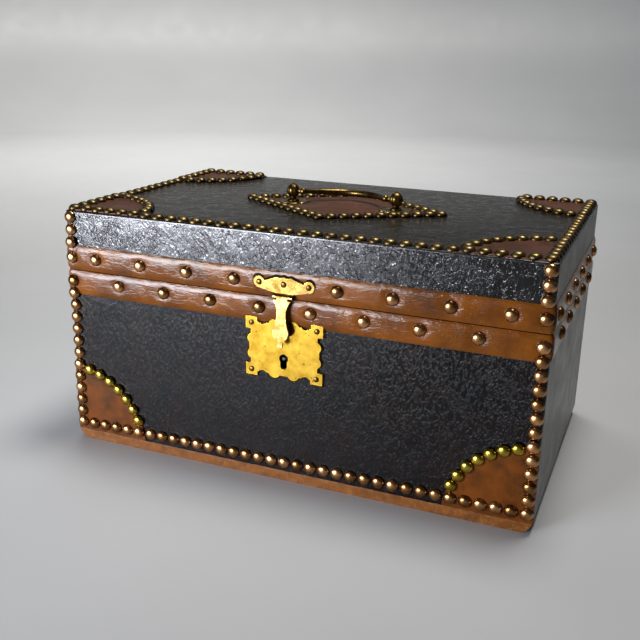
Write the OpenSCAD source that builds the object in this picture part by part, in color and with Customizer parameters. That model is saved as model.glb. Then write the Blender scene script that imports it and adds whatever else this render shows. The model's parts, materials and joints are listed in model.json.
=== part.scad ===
// A leather-covered stationery box with a hinged lid, brass-nailed edges, a bail handle and a hasp lock.
// The origin is the centre of the underside. The front faces -Y, +X is to the right and +Z is up.

/* [Case] */
// Width over the leather
box_w = 350; // [300:1:400]
// Depth over the leather
box_d = 210; // [180:1:240]
// Height from the underside to the leather of the lid's top
box_h = 179; // [170:1:200]
// Height of the parting line between base and lid
part_z = 135.2; // [125:0.1:140]
// Open height of the parting line
part_gap = 0.6; // [0.4:0.1:1]
// Radius of the upright corners
corner_r = 2.5; // [1.8:0.1:4]
// Radius of the lower left and right edges
low_r = 9.5; // [7:0.1:12]
// Radius of the lid's upper edges
edge_r = 1.6; // [1.4:0.1:2.4]

/* [Boards, skins and linings] */
// Thickness of the four side boards
board_t = 9; // [8:0.1:11]
// Thickness of the bottom board
bottom_board_t = 7; // [5:0.1:10]
// Thickness of the lid's top board
top_board_t = 7; // [5:0.1:10]
// Thickness of the black leather
leather_t = 1; // [0.8:0.05:1.3]
// Thickness of the tan rim bands
band_t = 1; // [0.8:0.05:1.3]
// Height of each rim band
band_h = 18; // [16:0.1:20]
// Thickness of the tan corner and handle patches
patch_t = 0.8; // [0.5:0.05:1]
// Radius of the quarter-round corner patches
patch_r = 60.5; // [52:0.1:64]
// Thickness of the tan strip along the front lower edge
strip_t = 0.8; // [0.5:0.05:1]
// Height of that strip on the front
strip_h = 7.5; // [5:0.1:8.5]
// How far the strip runs back under the box
strip_under_d = 12; // [8:0.5:20]
// Thickness of the paper lining
lining_t = 0.8; // [0.5:0.05:1.2]
// How far the lining stays below the board edges
lining_drop = 1; // [0.5:0.1:3]

/* [Studs] */
// Diameter of the edge and band studs
stud_d = 9.2; // [8.6:0.05:9.3]
// Height of the edge and band studs
stud_h = 3.2; // [2.4:0.05:3.6]
// Diameter of the studs round the patches and up the lid's front corners
small_stud_d = 9; // [8.4:0.05:9.05]
// Height of those studs
small_stud_h = 3.1; // [2.2:0.05:3.4]
// Diameter of the studs round the diamond
diamond_stud_d = 8.8; // [8.2:0.05:8.9]
// Least gap between studs in the long rows
row_gap = 0.75; // [0.5:0.05:1.2]
// Least gap between studs in the columns and arcs
tight_gap = 0.2; // [0.15:0.05:0.5]
// Distance of the front columns from the box's sides
column_in = 4.4; // [4.4:0.1:7]
// Height of the front's bottom row
row_z = 14; // [13:0.1:16]
// Distance of the top rows from the lid's edges
top_in = 5.2; // [5:0.1:7]
// Distance of the lid band's stud row above the parting line
lid_row_up = 9.4; // [7:0.1:11]
// Distance of the base band's stud row below the parting line
base_row_down = 8.2; // [7:0.1:11]
// Spacing of the front and back band studs
band_pitch = 37.5; // [30:0.5:44]
// Spacing of the side band studs
side_pitch = 36; // [30:0.5:44]
// Studs in each front patch arc
front_arc_count = 7; // [5:1:7]
// Studs in each top patch arc
top_arc_count = 8; // [5:1:8]
// Studs in each front column of the lid, above the band
lid_column_count = 3; // [1:1:3]
// Studs along the back edge at each top patch
back_edge_count = 5; // [0:1:6]

/* [Handle] */
// Half width of the diamond patch's stud line
diamond_x = 76; // [70:0.5:90]
// Half depth of the diamond patch's stud line
diamond_y = 49; // [44:0.5:60]
// Stud spaces along each side of the diamond
diamond_steps = 10; // [8:1:10]
// Distance between the two ball posts
post_span = 82.6; // [76:0.1:90]
// Height of the ball centres above the diamond patch
ball_up = 8.3; // [7.5:0.1:12]
// Diameter of the balls
ball_d = 10.6; // [9:0.1:12]
// Diameter of the post foot
foot_d = 9.2; // [7:0.1:11]
// Diameter of the post neck
neck_d = 4.2; // [3.6:0.1:5]
// Diameter of the threaded shank under the post
shank_d = 3.6; // [3:0.1:4]
// Diameter of the scalloped rosettes over their lobes
rosette_d = 27.4; // [22:0.1:28]
// Thickness of the rosettes
rosette_t = 0.8; // [0.5:0.05:1.2]
// Reach of the bail from its pivots to the middle of the grip
bail_reach = 24; // [18:0.5:26]
// Diameter of the bail at the middle of the grip
grip_d = 5.5; // [4:0.1:6]
// Diameter of the bail at its ends
bail_end_d = 3.4; // [3.2:0.1:4]
// Diameter of the bail's pivot pins
bail_pin_d = 3.2; // [2.4:0.1:3.6]
// Degrees below level at which the bail stops on either side
bail_angle = 6; // [0:0.5:7]

/* [Hasp and lock] */
// Thickness of the hasp plate on the lid
hasp_t = 1; // [0.8:0.05:1.4]
// Radius of the hasp knuckles
knuckle_r = 1.7; // [1.5:0.05:2.2]
// Width over the three hasp knuckles
knuckle_w = 14.3; // [12:0.1:18]
// Width of the tongue's own knuckle
tongue_knuckle_w = 7.6; // [6:0.1:9]
// Radius of the hasp's hinge pin
hasp_pin_r = 0.8; // [0.6:0.05:1]
// Height of the hasp's hinge pin above the parting line
hasp_up = 1.4; // [1.2:0.1:3]
// Spacing of the hasp plate's two eyes
eye_span = 36; // [32:0.5:44]
// Thickness of the tongue
tongue_t = 1.5; // [1.2:0.05:2]
// Width of the tongue at its shoulders
shoulder_w = 12.7; // [11:0.1:15]
// Width of the tongue at its waist
waist_w = 6.7; // [5:0.1:8]
// Width of the tongue at its bulb
bulb_w = 11.8; // [10:0.1:14]
// Drop from the hinge pin to the waist
waist_drop = 11.1; // [9:0.1:13]
// Drop from the hinge pin to the middle of the bulb
bulb_drop = 24.1; // [22:0.1:27]
// Drop from the hinge pin to the end knob
knob_drop = 33; // [31.5:0.1:36]
// Radius of the end knob
knob_r = 2.1; // [1.5:0.05:2.8]
// Drop from the hinge pin to the middle of the staple
staple_drop = 25; // [24:0.1:26]
// Width of the staple along the bolt's travel
staple_w = 3; // [2.4:0.1:4]
// Height of the staple's eye
eye_h = 4.6; // [4.4:0.1:5]
// Thickness of the staple's two legs
leg_t = 1.3; // [1:0.05:1.6]
// Thickness of the bar that closes the staple's eye
bar_t = 0.9; // [0.7:0.05:1.2]
// Width of the lock plate
plate_w = 57.2; // [54:0.1:66]
// Height of the lock plate
plate_h = 42.4; // [41:0.1:48]
// Thickness of the lock plate
plate_t = 1.5; // [1.3:0.05:2]
// Thickness left where the plate is hollowed behind
plate_thin_t = 0.9; // [0.7:0.05:1]
// Distance of the lock plate's middle below the parting line
plate_down = 36.6; // [36:0.1:40]
// Radius of the keyhole's round head
key_r = 3.25; // [2.8:0.05:3.6]
// Width of the keyhole's slot
key_slot_w = 4.8; // [4.4:0.05:5]
// Distance of the keyhole's head below the plate's middle
key_down = 6.1; // [5:0.1:8]
// Distance from the keyhole's head down to the middle of its foot
key_drop = 5.4; // [4.5:0.1:6]
// Radius of the pin that the key turns on
drill_pin_r = 1; // [0.8:0.05:1.3]
// Thickness of the bolt
bolt_t = 1; // [0.8:0.05:1.2]
// Height of the bolt's nose
bolt_h = 3.8; // [3.4:0.05:3.9]
// Travel of the bolt
bolt_travel = 4.7; // [4:0.1:5]
// Width of the lock case
case_w = 39; // [38:0.5:42]
// Depth of the lock case behind the leather's face
case_depth = 6.5; // [6:0.1:7]
// Thickness of the lock case's walls
case_wall = 1; // [0.8:0.05:1.2]

/* [Back hinges] */
// Distance of each hinge's middle from the box's side
hinge_in = 62.5; // [50:0.5:85]
// Length of each hinge
hinge_w = 40; // [30:1:50]
// Height of each hinge leaf from the parting line
leaf_h = 14; // [11:0.5:16]
// Thickness of the hinge leaves
leaf_t = 1.2; // [1:0.05:1.6]
// Radius of the hinge barrel
barrel_r = 2.2; // [2:0.05:3]
// Radius of the hinge pins
hinge_pin_r = 1.1; // [0.8:0.05:1.4]
// Radius of the hinge screw heads
screw_r = 1.8; // [1.4:0.05:2.2]

/* [Hidden] */
$fn = 64;
// Clearance round pins that turn
run = 0.05;
// Air between pieces of different bodies that pass each other
air = 0.3;
// Extra length of a cutting shape past the piece that it cuts
past = 1;
hx = box_w / 2;
hy = box_d / 2;
hinge_x = hx - hinge_in;
base_top = part_z - part_gap / 2;
lid_low = part_z + part_gap / 2;
wall_top = base_top - band_t;
wall_low = lid_low + band_t;
band_low_z = base_top - band_h;
band_top_z = lid_low + band_h;
floor_z = leather_t + bottom_board_t;
ceiling_z = box_h - leather_t - top_board_t;
skin_t = leather_t + board_t;
in_w = box_w - 2 * skin_t;
in_d = box_d - 2 * skin_t;
base_row_z = part_z - base_row_down;
lid_row_z = part_z + lid_row_up;
// Height of the hasp plate's two eyes
plate_mid_z = lid_row_z + 0.4;
// How far the stud arcs lie inside the patches' edges
arc_in = 1;
arc_r = patch_r - arc_in;
front_arc_low_angle = 23.2;
front_arc_high_angle = 76.9;
top_arc_low_angle = 13.8;
// Leather left above the top stud of each front column
column_top_gap = 0.3;
patch_top = box_h + patch_t;
ball_z = patch_top + ball_up;
ball_r = ball_d / 2;
// The knob at each end of the bail, its place, and the slope and depth of its seat for the bar
knob_ball_d = bail_end_d + 1.8;
knob_x = post_span / 2 - ball_r - air - knob_ball_d / 2;
seat_angle = atan(2 * bail_reach / knob_x);
seat_depth = 1.2;
bail_half = knob_x - seat_depth * cos(seat_angle);
bail_start = seat_depth * sin(seat_angle);
hasp_y = -hy - band_t - air - knuckle_r;
hasp_z = part_z + hasp_up;
tongue_back = 0.4;
plate_z = part_z - plate_down;
key_z = plate_z - key_down;
staple_half_h = eye_h / 2 + leg_t;
// Air in front of and behind the sliding bolt
slide_gap = 0.2;
// Air left behind the end knob when the tongue is pressed home
knob_gap = 0.2;
// Air left between the staple's closing bar and the bolt
bar_gap = 0.15;
// Air left between the resting staple and the plate's front
rest_gap = 0.25;
// Lean of the tongue towards the box when latched, and away from it at rest
latch_lean = asin((knuckle_stand() - plate_t - knob_gap + tongue_back) / knob_drop);
eye_depth = knuckle_stand() + bolt_y() + bolt_t + bar_gap + tongue_back;
staple_reach = eye_depth - (staple_drop - eye_h / 2) * sin(latch_lean) + bar_t;
rest_off = staple_reach + rest_gap + plate_t - knuckle_stand() - tongue_back;
rest_lean = asin(rest_off / (staple_drop - staple_half_h));
staple_z = hasp_z - staple_drop;
case_in_top = 4.6;
case_in_low = 4.8;
case_top = plate_z + plate_h / 2 - case_in_top;
case_low = plate_z - plate_h / 2 + case_in_low;
head_top = staple_z + staple_half_h + 1.9;
head_half = 9;
hinge_y = hy + band_t + barrel_r + air;

// How far the hasp's hinge line stands in front of the leather
function knuckle_stand() = band_t + air + knuckle_r;

// Depth of the bolt's front face behind the leather's face, which is negative in the plate's hollow
function bolt_y() = plate_thin_t - plate_t + slide_gap;

// How much a front stud is raised by the band or patch that it sits on
function front_seat(x, z) =
    z + stud_d / 2 > band_low_z ? band_t :
    norm([hx - abs(x), z]) - stud_d / 2 < patch_r ? patch_t : 0;

// How much a top stud is raised by the corner patch that it sits on
function top_seat(x, y) = norm([hx - abs(x), hy - abs(y)]) - stud_d / 2 < patch_r ? patch_t : 0;

// Number of equal spaces that fit in a run of studs
function spaces(length, pitch) = floor(length / pitch + 0.001);

// Colours of the materials
black_leather = [0.09, 0.085, 0.09];
tan_leather = [0.55, 0.29, 0.13];
bright_brass = [0.86, 0.66, 0.22];
aged_brass = [0.6, 0.4, 0.2];
dark_brass = [0.36, 0.27, 0.12];
pine = [0.72, 0.56, 0.38];
paper = [0.78, 0.72, 0.6];

// ---- Shared outlines ----

// A rectangle with rounded corners, centred
module round_rect(w, d, r) {
    square([w - 2 * r, d], center = true);
    square([w, d - 2 * r], center = true);
    for (sx = [-1, 1], sy = [-1, 1])
        translate([sx * (w / 2 - r), sy * (d / 2 - r)]) circle(r);
}

// The box from above, with its faces moved in by the given amount
module plan_outline(inset) {
    round_rect(box_w - 2 * inset, box_d - 2 * inset, corner_r - inset);
}

// The base from the front, up to the underside of the folded band
module base_outline(inset) {
    w = box_w - 2 * inset;
    r = low_r - inset;
    translate([-w / 2, low_r]) square([w, wall_top - low_r]);
    translate([-w / 2 + r, inset]) square([w - 2 * r, r]);
    for (s = [-1, 1]) translate([s * (w / 2 - r), low_r]) circle(r);
}

// The lid from the front or side, down to the folded band
module lid_outline(w, inset) {
    r = edge_r - inset;
    h = box_h - inset - wall_low;
    translate([-w / 2 + r, wall_low]) square([w - 2 * r, h]);
    translate([-w / 2, wall_low]) square([w, h - r]);
    for (s = [-1, 1]) translate([s * (w / 2 - r), wall_low + h - r]) circle(r);
}

// The solid base, with its faces moved in by the given amount
module base_block(inset) {
    intersection() {
        rotate([90, 0, 0]) linear_extrude(box_d, center = true) base_outline(inset);
        linear_extrude(wall_top) plan_outline(inset);
    }
}

// The solid lid, with its faces moved in by the given amount
module lid_block(inset) {
    intersection() {
        rotate([90, 0, 0]) linear_extrude(box_d, center = true) lid_outline(box_w - 2 * inset, inset);
        rotate([90, 0, 90]) linear_extrude(box_w, center = true) lid_outline(box_d - 2 * inset, inset);
        translate([0, 0, wall_low]) linear_extrude(box_h - wall_low) plan_outline(inset);
    }
}

// A box between two corners
module block(low, high) {
    translate(low) cube(high - low);
}

// The hollow of the base or lid between its boards
module inner_block(low, high, inset) {
    block([-in_w / 2 + inset, -in_d / 2 + inset, low], [in_w / 2 - inset, in_d / 2 - inset, high]);
}

// A domed stud head that stands on the XY plane
module dome(d, h) {
    r = (d * d / 4 + h * h) / (2 * h);
    intersection() {
        translate([0, 0, h - r]) sphere(r);
        cylinder(d = d, h = 2 * h);
    }
}

module front_stud(x, z, d, h, seat) {
    translate([x, -hy - seat, z]) rotate([90, 0, 0]) dome(d, h);
}

module back_stud(x, z, d, h, seat) {
    translate([x, hy + seat, z]) rotate([-90, 0, 0]) dome(d, h);
}

module side_stud(side, y, z, d, h, seat) {
    translate([side * (hx + seat), y, z]) rotate([0, side * 90, 0]) dome(d, h);
}

module top_stud(x, y, d, h, seat) {
    translate([x, y, box_h + seat]) dome(d, h);
}

// The holes for the two handle shanks
module shank_holes() {
    for (s = [-1, 1])
        translate([s * post_span / 2, 0, ceiling_z - lining_t - past])
            cylinder(d = shank_d + 2 * run, h = patch_top + rosette_t - ceiling_z + 2 * past + lining_t);
}

// ---- Base: boards ----

// The room that the lock case takes in the front
module case_room() {
    block([-case_w / 2, -hy, case_low], [case_w / 2, -hy + case_depth, case_top]);
    block([-head_half, -hy, case_top - past], [head_half, -hy + case_depth, head_top]);
}

module base_bottom_board() {
    color(pine)
        intersection() {
            base_block(leather_t);
            block([-box_w, -box_d, 0], [box_w, box_d, floor_z]);
        }
}

module base_front_board() {
    color(pine)
        difference() {
            intersection() {
                base_block(leather_t);
                block([-box_w, -box_d, floor_z], [box_w, -in_d / 2, box_h]);
            }
            case_room();
        }
}

module base_back_board() {
    color(pine)
        intersection() {
            base_block(leather_t);
            block([-box_w, in_d / 2, floor_z], [box_w, box_d, box_h]);
        }
}

module base_left_board() {
    color(pine)
        intersection() {
            base_block(leather_t);
            block([-box_w, -in_d / 2, floor_z], [-in_w / 2, in_d / 2, box_h]);
        }
}

module base_right_board() {
    color(pine)
        intersection() {
            base_block(leather_t);
            block([in_w / 2, -in_d / 2, floor_z], [box_w, in_d / 2, box_h]);
        }
}

// ---- Base: leather, bands and lining ----

module base_skin() {
    difference() {
        base_block(0);
        base_block(leather_t);
    }
}

// The flat underside between the rounded edges
module under_zone(low_y, high_y) {
    block([-hx + low_r, low_y, -past], [hx - low_r, high_y, leather_t]);
}

module base_bottom_leather() {
    color(black_leather)
        block([-hx + low_r, -hy + strip_under_d, 0], [hx - low_r, hy - leather_t, leather_t]);
}

module base_front_leather() {
    color(black_leather)
        difference() {
            intersection() {
                base_skin();
                block([-box_w, -box_d, -past], [box_w, -hy + corner_r, box_h]);
            }
            under_zone(-box_d, hy - leather_t);
            translate([0, -past, 0]) case_room();
            case_room();
        }
}

module base_wrap_leather() {
    color(black_leather)
        difference() {
            base_skin();
            block([-box_w, -box_d, -past], [box_w, -hy + corner_r, box_h]);
            under_zone(-box_d, hy - leather_t);
        }
}

module base_foot_strip() {
    color(tan_leather) {
        intersection() {
            translate([0, -hy, 0]) rotate([90, 0, 0]) linear_extrude(strip_t) base_outline(0);
            block([-box_w, -box_d, 0], [box_w, 0, strip_h]);
        }
        block([-hx + low_r, -hy - strip_t / 2, 0], [hx - low_r, -hy + strip_under_d, leather_t]);
    }
}

module base_rim_band() {
    color(tan_leather)
        difference() {
            translate([0, 0, band_low_z]) linear_extrude(band_h) plan_outline(-band_t);
            translate([0, 0, band_low_z - past])
                linear_extrude(wall_top - band_low_z + past) plan_outline(0);
            inner_block(0, box_h, 0);
            translate([0, -hy, 0]) rotate([90, 0, 0]) linear_extrude(band_t + past) lock_plate_outline();
        }
}

module corner_patch(side) {
    color(tan_leather)
        translate([0, -hy, 0]) rotate([90, 0, 0]) linear_extrude(patch_t)
            intersection() {
                translate([side * hx, 0]) circle(patch_r);
                base_outline(0);
                translate([-box_w, strip_h]) square([2 * box_w, box_h]);
            }
}

module base_left_patch() {
    corner_patch(-1);
}

module base_right_patch() {
    corner_patch(1);
}

module base_lining() {
    color(paper)
        difference() {
            inner_block(floor_z, wall_top - lining_drop, 0);
            inner_block(floor_z + lining_t, box_h, lining_t);
        }
}

// ---- Base: studs ----

module base_edge_studs() {
    row_n = spaces(box_w - 2 * column_in, stud_d + row_gap);
    row_step = (box_w - 2 * column_in) / row_n;
    column_n = spaces(base_row_z - row_z, stud_d + tight_gap);
    column_step = (base_row_z - row_z) / column_n;
    color(aged_brass) {
        for (i = [0:row_n]) {
            x = -hx + column_in + i * row_step;
            front_stud(x, row_z, stud_d, stud_h, front_seat(x, row_z));
        }
        for (s = [-1, 1], i = [1:column_n]) {
            z = row_z + i * column_step;
            front_stud(s * (hx - column_in), z, stud_d, stud_h, front_seat(hx - column_in, z));
        }
    }
}

module base_patch_studs() {
    step = (front_arc_high_angle - front_arc_low_angle) / (front_arc_count - 1);
    color(bright_brass)
        for (s = [-1, 1], i = [0:front_arc_count - 1]) {
            a = front_arc_low_angle + i * step;
            front_stud(s * (hx - arc_r * cos(a)), arc_r * sin(a), small_stud_d, small_stud_h, patch_t);
        }
}

// Is this place along the back clear of the hinges?
function clear_of_hinge(x) = abs(abs(x) - hinge_x) > hinge_w / 2 + stud_d / 2 + air;

module base_band_studs() {
    front_n = floor((hx - column_in - stud_d) / band_pitch - 0.5);
    side_n = floor((hy - stud_d) / side_pitch);
    color(aged_brass) {
        for (s = [-1, 1], i = [0:front_n]) {
            x = s * (i + 0.5) * band_pitch;
            front_stud(x, base_row_z, stud_d, stud_h, band_t);
            if (clear_of_hinge(x)) back_stud(x, base_row_z, stud_d, stud_h, band_t);
        }
        for (s = [-1, 1], i = [-side_n:side_n])
            side_stud(s, i * side_pitch, base_row_z, stud_d, stud_h, band_t);
    }
}

// ---- Lock ----

// The scalloped outline of the lock plate, seen from the front
module lock_plate_outline() {
    half_w = plate_w / 2;
    half_h = plate_h / 2;
    ear = 8.8;
    field_in = [3.8, 3];
    waist = [10, 8];
    waist_in = 2.5;
    lobe_x = 7;
    lobe_r = 4.6;
    lobe_in = 0.2;
    side_lobe_z = 5.4;
    side_lobe_r = 3.8;
    side_lobe_in = 1.2;
    dip_r = 3.9;
    dip_in = [-0.1, 0.6];
    side_dip_r = 2.5;
    side_dip_in = [1, -0.3];
    translate([0, plate_z])
        difference() {
            union() {
                square([plate_w, plate_h] - 2 * field_in, center = true);
                square([waist[0], plate_h - 2 * waist_in], center = true);
                square([plate_w - 2 * waist_in, waist[1]], center = true);
                for (sx = [-1, 1], sz = [-1, 1]) {
                    translate([sx * (half_w - ear / 2), sz * (half_h - ear / 2)])
                        square([ear, ear], center = true);
                    translate([sx * lobe_x, sz * (half_h - lobe_r - lobe_in)]) circle(lobe_r);
                    translate([sx * (half_w - side_lobe_in - side_lobe_r), sz * side_lobe_z])
                        circle(side_lobe_r);
                }
            }
            for (sx = [-1, 1], sz = [-1, 1]) {
                translate([sx * (half_w - ear - dip_r - dip_in[0]), sz * (half_h - dip_in[1])])
                    circle(dip_r);
                translate([sx * (half_w - side_dip_in[0]), sz * (half_h - ear - side_dip_r - side_dip_in[1])])
                    circle(side_dip_r);
            }
        }
}

module keyhole_outline() {
    translate([0, key_z]) circle(key_r);
    translate([-key_slot_w / 2, key_z - key_drop]) square([key_slot_w, key_drop]);
    translate([0, key_z - key_drop]) circle(key_slot_w / 2);
}

module lock_plate() {
    hollow_w = case_w - 2 * case_wall - 1;
    slot_w = staple_w + 2 * air;
    slot_h = eye_h + 2 * leg_t + 1;
    color(bright_brass)
        difference() {
            translate([0, -hy, 0]) rotate([90, 0, 0]) linear_extrude(plate_t)
                difference() {
                    lock_plate_outline();
                    keyhole_outline();
                }
            block([-hollow_w / 2, -hy - plate_t + plate_thin_t, case_low + case_wall + 0.5],
                  [hollow_w / 2, -hy + past, case_top - case_wall - 0.3]);
            block([-slot_w / 2, -hy - plate_t - past, staple_z - slot_h / 2],
                  [slot_w / 2, -hy + past, staple_z + slot_h / 2]);
            block([-head_half + case_wall + 0.3, -hy - plate_t + plate_thin_t, staple_z],
                  [head_half - case_wall - 0.3, -hy + past, head_top - case_wall - 0.3]);
        }
}

module lock_plate_pins() {
    pin_d = 4.1;
    pin_h = 1;
    color(dark_brass)
        for (sx = [-1, 1], sz = [-1, 1])
            translate([sx * (plate_w / 2 - 4.4), -hy - plate_t, plate_z + sz * (plate_h / 2 - 4.2)])
                rotate([90, 0, 0]) dome(pin_d, pin_h);
}

module lock_case() {
    back = -hy + case_depth - case_wall;
    guide_gap = 0.3;
    guide_x = 8;
    guide_w = 6.4;
    shelf_x = 15.2;
    shelf_t = 1.2;
    stop_x = 2.8;
    stop_w = 1.8;
    bolt_low = staple_z - bolt_h / 2;
    shelf_z = bolt_low - guide_gap;
    shelf_y = -hy + slide_gap;
    guide_y = -hy + bolt_y() + bolt_t + slide_gap;
    color(dark_brass) {
        difference() {
            case_room();
            block([-case_w / 2 + case_wall, -hy - past, case_low + case_wall],
                  [case_w / 2 - case_wall, back, case_top - case_wall]);
            block([-head_half + case_wall, -hy - past, case_top - 2 * past - case_wall],
                  [head_half - case_wall, back, head_top - case_wall]);
        }
        block([guide_x, guide_y, bolt_low], [guide_x + guide_w, back + case_wall / 2, bolt_low + bolt_h]);
        block([shelf_x, shelf_y, shelf_z - shelf_t],
              [case_w / 2 - case_wall / 2, back + case_wall / 2, shelf_z]);
        block([stop_x, shelf_y, shelf_z - shelf_t], [stop_x + stop_w, back + case_wall / 2, shelf_z]);
    }
}

module lock_drill_pin() {
    color(bright_brass)
        translate([0, -hy + case_depth - case_wall, key_z]) rotate([90, 0, 0])
            cylinder(r = drill_pin_r, h = case_depth - case_wall + plate_t - air);
}

module lock_bolt() {
    nose_x = staple_w / 2 + 0.7;
    tail_x = case_w / 2 - case_wall - 1.7;
    arm_x = 10;
    arm_w = 4;
    arm_low = key_z + key_r + 0.6;
    notch_r = 1.6;
    notch_z = arm_low + 4.5;
    front = -hy + bolt_y();
    color(dark_brass)
        difference() {
            union() {
                block([nose_x, front, staple_z - bolt_h / 2],
                      [tail_x, front + bolt_t, staple_z + bolt_h / 2]);
                block([arm_x, front, arm_low], [arm_x + arm_w, front + bolt_t, staple_z]);
            }
            translate([arm_x, front - past, notch_z]) rotate([-90, 0, 0])
                cylinder(r = notch_r, h = bolt_t + 2 * past);
        }
}

// ---- Back hinges ----

// One leaf with its own knuckles. Up is 1 for the lid's leaf and -1 for the base's.
module hinge_leaf(x, up) {
    knuckles = 5;
    step = hinge_w / knuckles;
    gap = 0.2;
    own = up > 0 ? [1, 3] : [0, 2, 4];
    other = up > 0 ? [0, 2, 4] : [1, 3];
    color(bright_brass)
        translate([x - hinge_w / 2, 0, part_z])
            difference() {
                union() {
                    translate([0, hy + band_t, up > 0 ? air : -leaf_h])
                        cube([hinge_w, leaf_t, leaf_h - air]);
                    for (k = own)
                        translate([k * step + gap / 2, hinge_y, 0]) rotate([0, 90, 0])
                            cylinder(r = barrel_r, h = step - gap);
                }
                for (k = other)
                    translate([k * step, hy + band_t - past, -barrel_r - 0.4])
                        cube([step, 2 * barrel_r + leaf_t + 2 * past, 2 * barrel_r + 0.8]);
                translate([-past, hinge_y, 0]) rotate([0, 90, 0])
                    cylinder(r = hinge_pin_r + run, h = hinge_w + 2 * past);
            }
}

module hinge_left_base_leaf() {
    hinge_leaf(-hinge_x, -1);
}

module hinge_right_base_leaf() {
    hinge_leaf(hinge_x, -1);
}

module hinge_left_lid_leaf() {
    hinge_leaf(-hinge_x, 1);
}

module hinge_right_lid_leaf() {
    hinge_leaf(hinge_x, 1);
}

module hinge_pins() {
    color(dark_brass)
        for (s = [-1, 1])
            translate([s * hinge_x - hinge_w / 2, hinge_y, part_z]) rotate([0, 90, 0])
                cylinder(r = hinge_pin_r, h = hinge_w);
}

// A slotted screw head that stands on the XY plane
module screw_head() {
    difference() {
        dome(2 * screw_r, screw_r * 0.45);
        translate([-screw_r - past, -0.25, screw_r * 0.25]) cube([2 * (screw_r + past), 0.5, past]);
    }
}

module hinge_screws(up) {
    color(dark_brass)
        for (s = [-1, 1], i = [-1:1])
            translate([s * hinge_x + i * hinge_w * 0.32, hy + band_t + leaf_t,
                       part_z + up * (leaf_h - 1.5 - screw_r - abs(i) * 1.5)])
                rotate([-90, 0, 0]) rotate([0, 0, 30 + 50 * i]) screw_head();
}

module hinge_base_screws() {
    hinge_screws(-1);
}

module hinge_lid_screws() {
    hinge_screws(1);
}

// ---- Lid: boards ----

module lid_top_board() {
    color(pine)
        difference() {
            intersection() {
                lid_block(leather_t);
                block([-box_w, -box_d, ceiling_z], [box_w, box_d, box_h]);
            }
            shank_holes();
        }
}

module lid_front_board() {
    color(pine)
        intersection() {
            lid_block(leather_t);
            block([-box_w, -box_d, 0], [box_w, -in_d / 2, ceiling_z]);
        }
}

module lid_back_board() {
    color(pine)
        intersection() {
            lid_block(leather_t);
            block([-box_w, in_d / 2, 0], [box_w, box_d, ceiling_z]);
        }
}

module lid_left_board() {
    color(pine)
        intersection() {
            lid_block(leather_t);
            block([-box_w, -in_d / 2, 0], [-in_w / 2, in_d / 2, ceiling_z]);
        }
}

module lid_right_board() {
    color(pine)
        intersection() {
            lid_block(leather_t);
            block([in_w / 2, -in_d / 2, 0], [box_w, in_d / 2, ceiling_z]);
        }
}

// ---- Lid: leather, bands, patches and lining ----

module lid_skin() {
    difference() {
        lid_block(0);
        lid_block(leather_t);
    }
}

module lid_top_leather() {
    color(black_leather)
        difference() {
            intersection() {
                lid_skin();
                block([-box_w, -box_d, box_h - edge_r], [box_w, box_d, box_h + past]);
            }
            shank_holes();
        }
}

module lid_front_leather() {
    color(black_leather)
        intersection() {
            lid_skin();
            block([-box_w, -box_d, 0], [box_w, -hy + corner_r, box_h - edge_r]);
        }
}

module lid_wrap_leather() {
    color(black_leather)
        intersection() {
            lid_skin();
            block([-box_w, -hy + corner_r, 0], [box_w, box_d, box_h - edge_r]);
        }
}

module lid_rim_band() {
    color(tan_leather)
        difference() {
            translate([0, 0, lid_low]) linear_extrude(band_h) plan_outline(-band_t);
            translate([0, 0, wall_low]) linear_extrude(band_h) plan_outline(0);
            inner_block(0, box_h, 0);
        }
}

module top_patch(sx, sy) {
    color(tan_leather)
        translate([0, 0, box_h]) linear_extrude(patch_t)
            intersection() {
                translate([sx * hx, sy * hy]) circle(patch_r);
                square([box_w - 2 * edge_r, box_d - 2 * edge_r], center = true);
            }
}

module lid_patch_front_left() {
    top_patch(-1, -1);
}

module lid_patch_front_right() {
    top_patch(1, -1);
}

module lid_patch_back_left() {
    top_patch(-1, 1);
}

module lid_patch_back_right() {
    top_patch(1, 1);
}

module lid_diamond_patch() {
    border = 1.5;
    x = diamond_x + border * diamond_x / diamond_y;
    y = diamond_y + border;
    color(tan_leather)
        difference() {
            translate([0, 0, box_h]) linear_extrude(patch_t) polygon([[-x, 0], [0, -y], [x, 0], [0, y]]);
            shank_holes();
        }
}

module lid_lining() {
    color(paper)
        difference() {
            inner_block(wall_low + lining_drop, ceiling_z, 0);
            inner_block(0, ceiling_z - lining_t, lining_t);
            shank_holes();
        }
}

// ---- Lid: studs ----

module lid_edge_studs() {
    across = box_w - 2 * top_in;
    along = box_d - 2 * top_in;
    row_n = spaces(across, stud_d + row_gap);
    side_n = spaces(along, stud_d + row_gap);
    row_step = across / row_n;
    side_step = along / side_n;
    color(aged_brass) {
        for (i = [0:row_n]) {
            x = -across / 2 + i * row_step;
            top_stud(x, -along / 2, stud_d, stud_h, top_seat(x, along / 2));
            if (i > 0 && i < row_n && min(i, row_n - i) <= back_edge_count)
                top_stud(x, along / 2, stud_d, stud_h, top_seat(x, along / 2));
        }
        for (s = [-1, 1], i = [1:side_n]) {
            y = -along / 2 + i * side_step;
            top_stud(s * across / 2, y, stud_d, stud_h, top_seat(across / 2, y));
        }
        for (s = [-1, 1]) {
            front_stud(s * (hx - column_in), lid_row_z, stud_d, stud_h, band_t);
            for (i = [0:lid_column_count - 1]) {
                z = box_h - column_top_gap - small_stud_d / 2 - i * (small_stud_d + tight_gap);
                seat = z - small_stud_d / 2 < band_top_z ? band_t : 0;
                front_stud(s * (hx - column_in), z, small_stud_d, small_stud_h, seat);
            }
        }
    }
}

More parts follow.
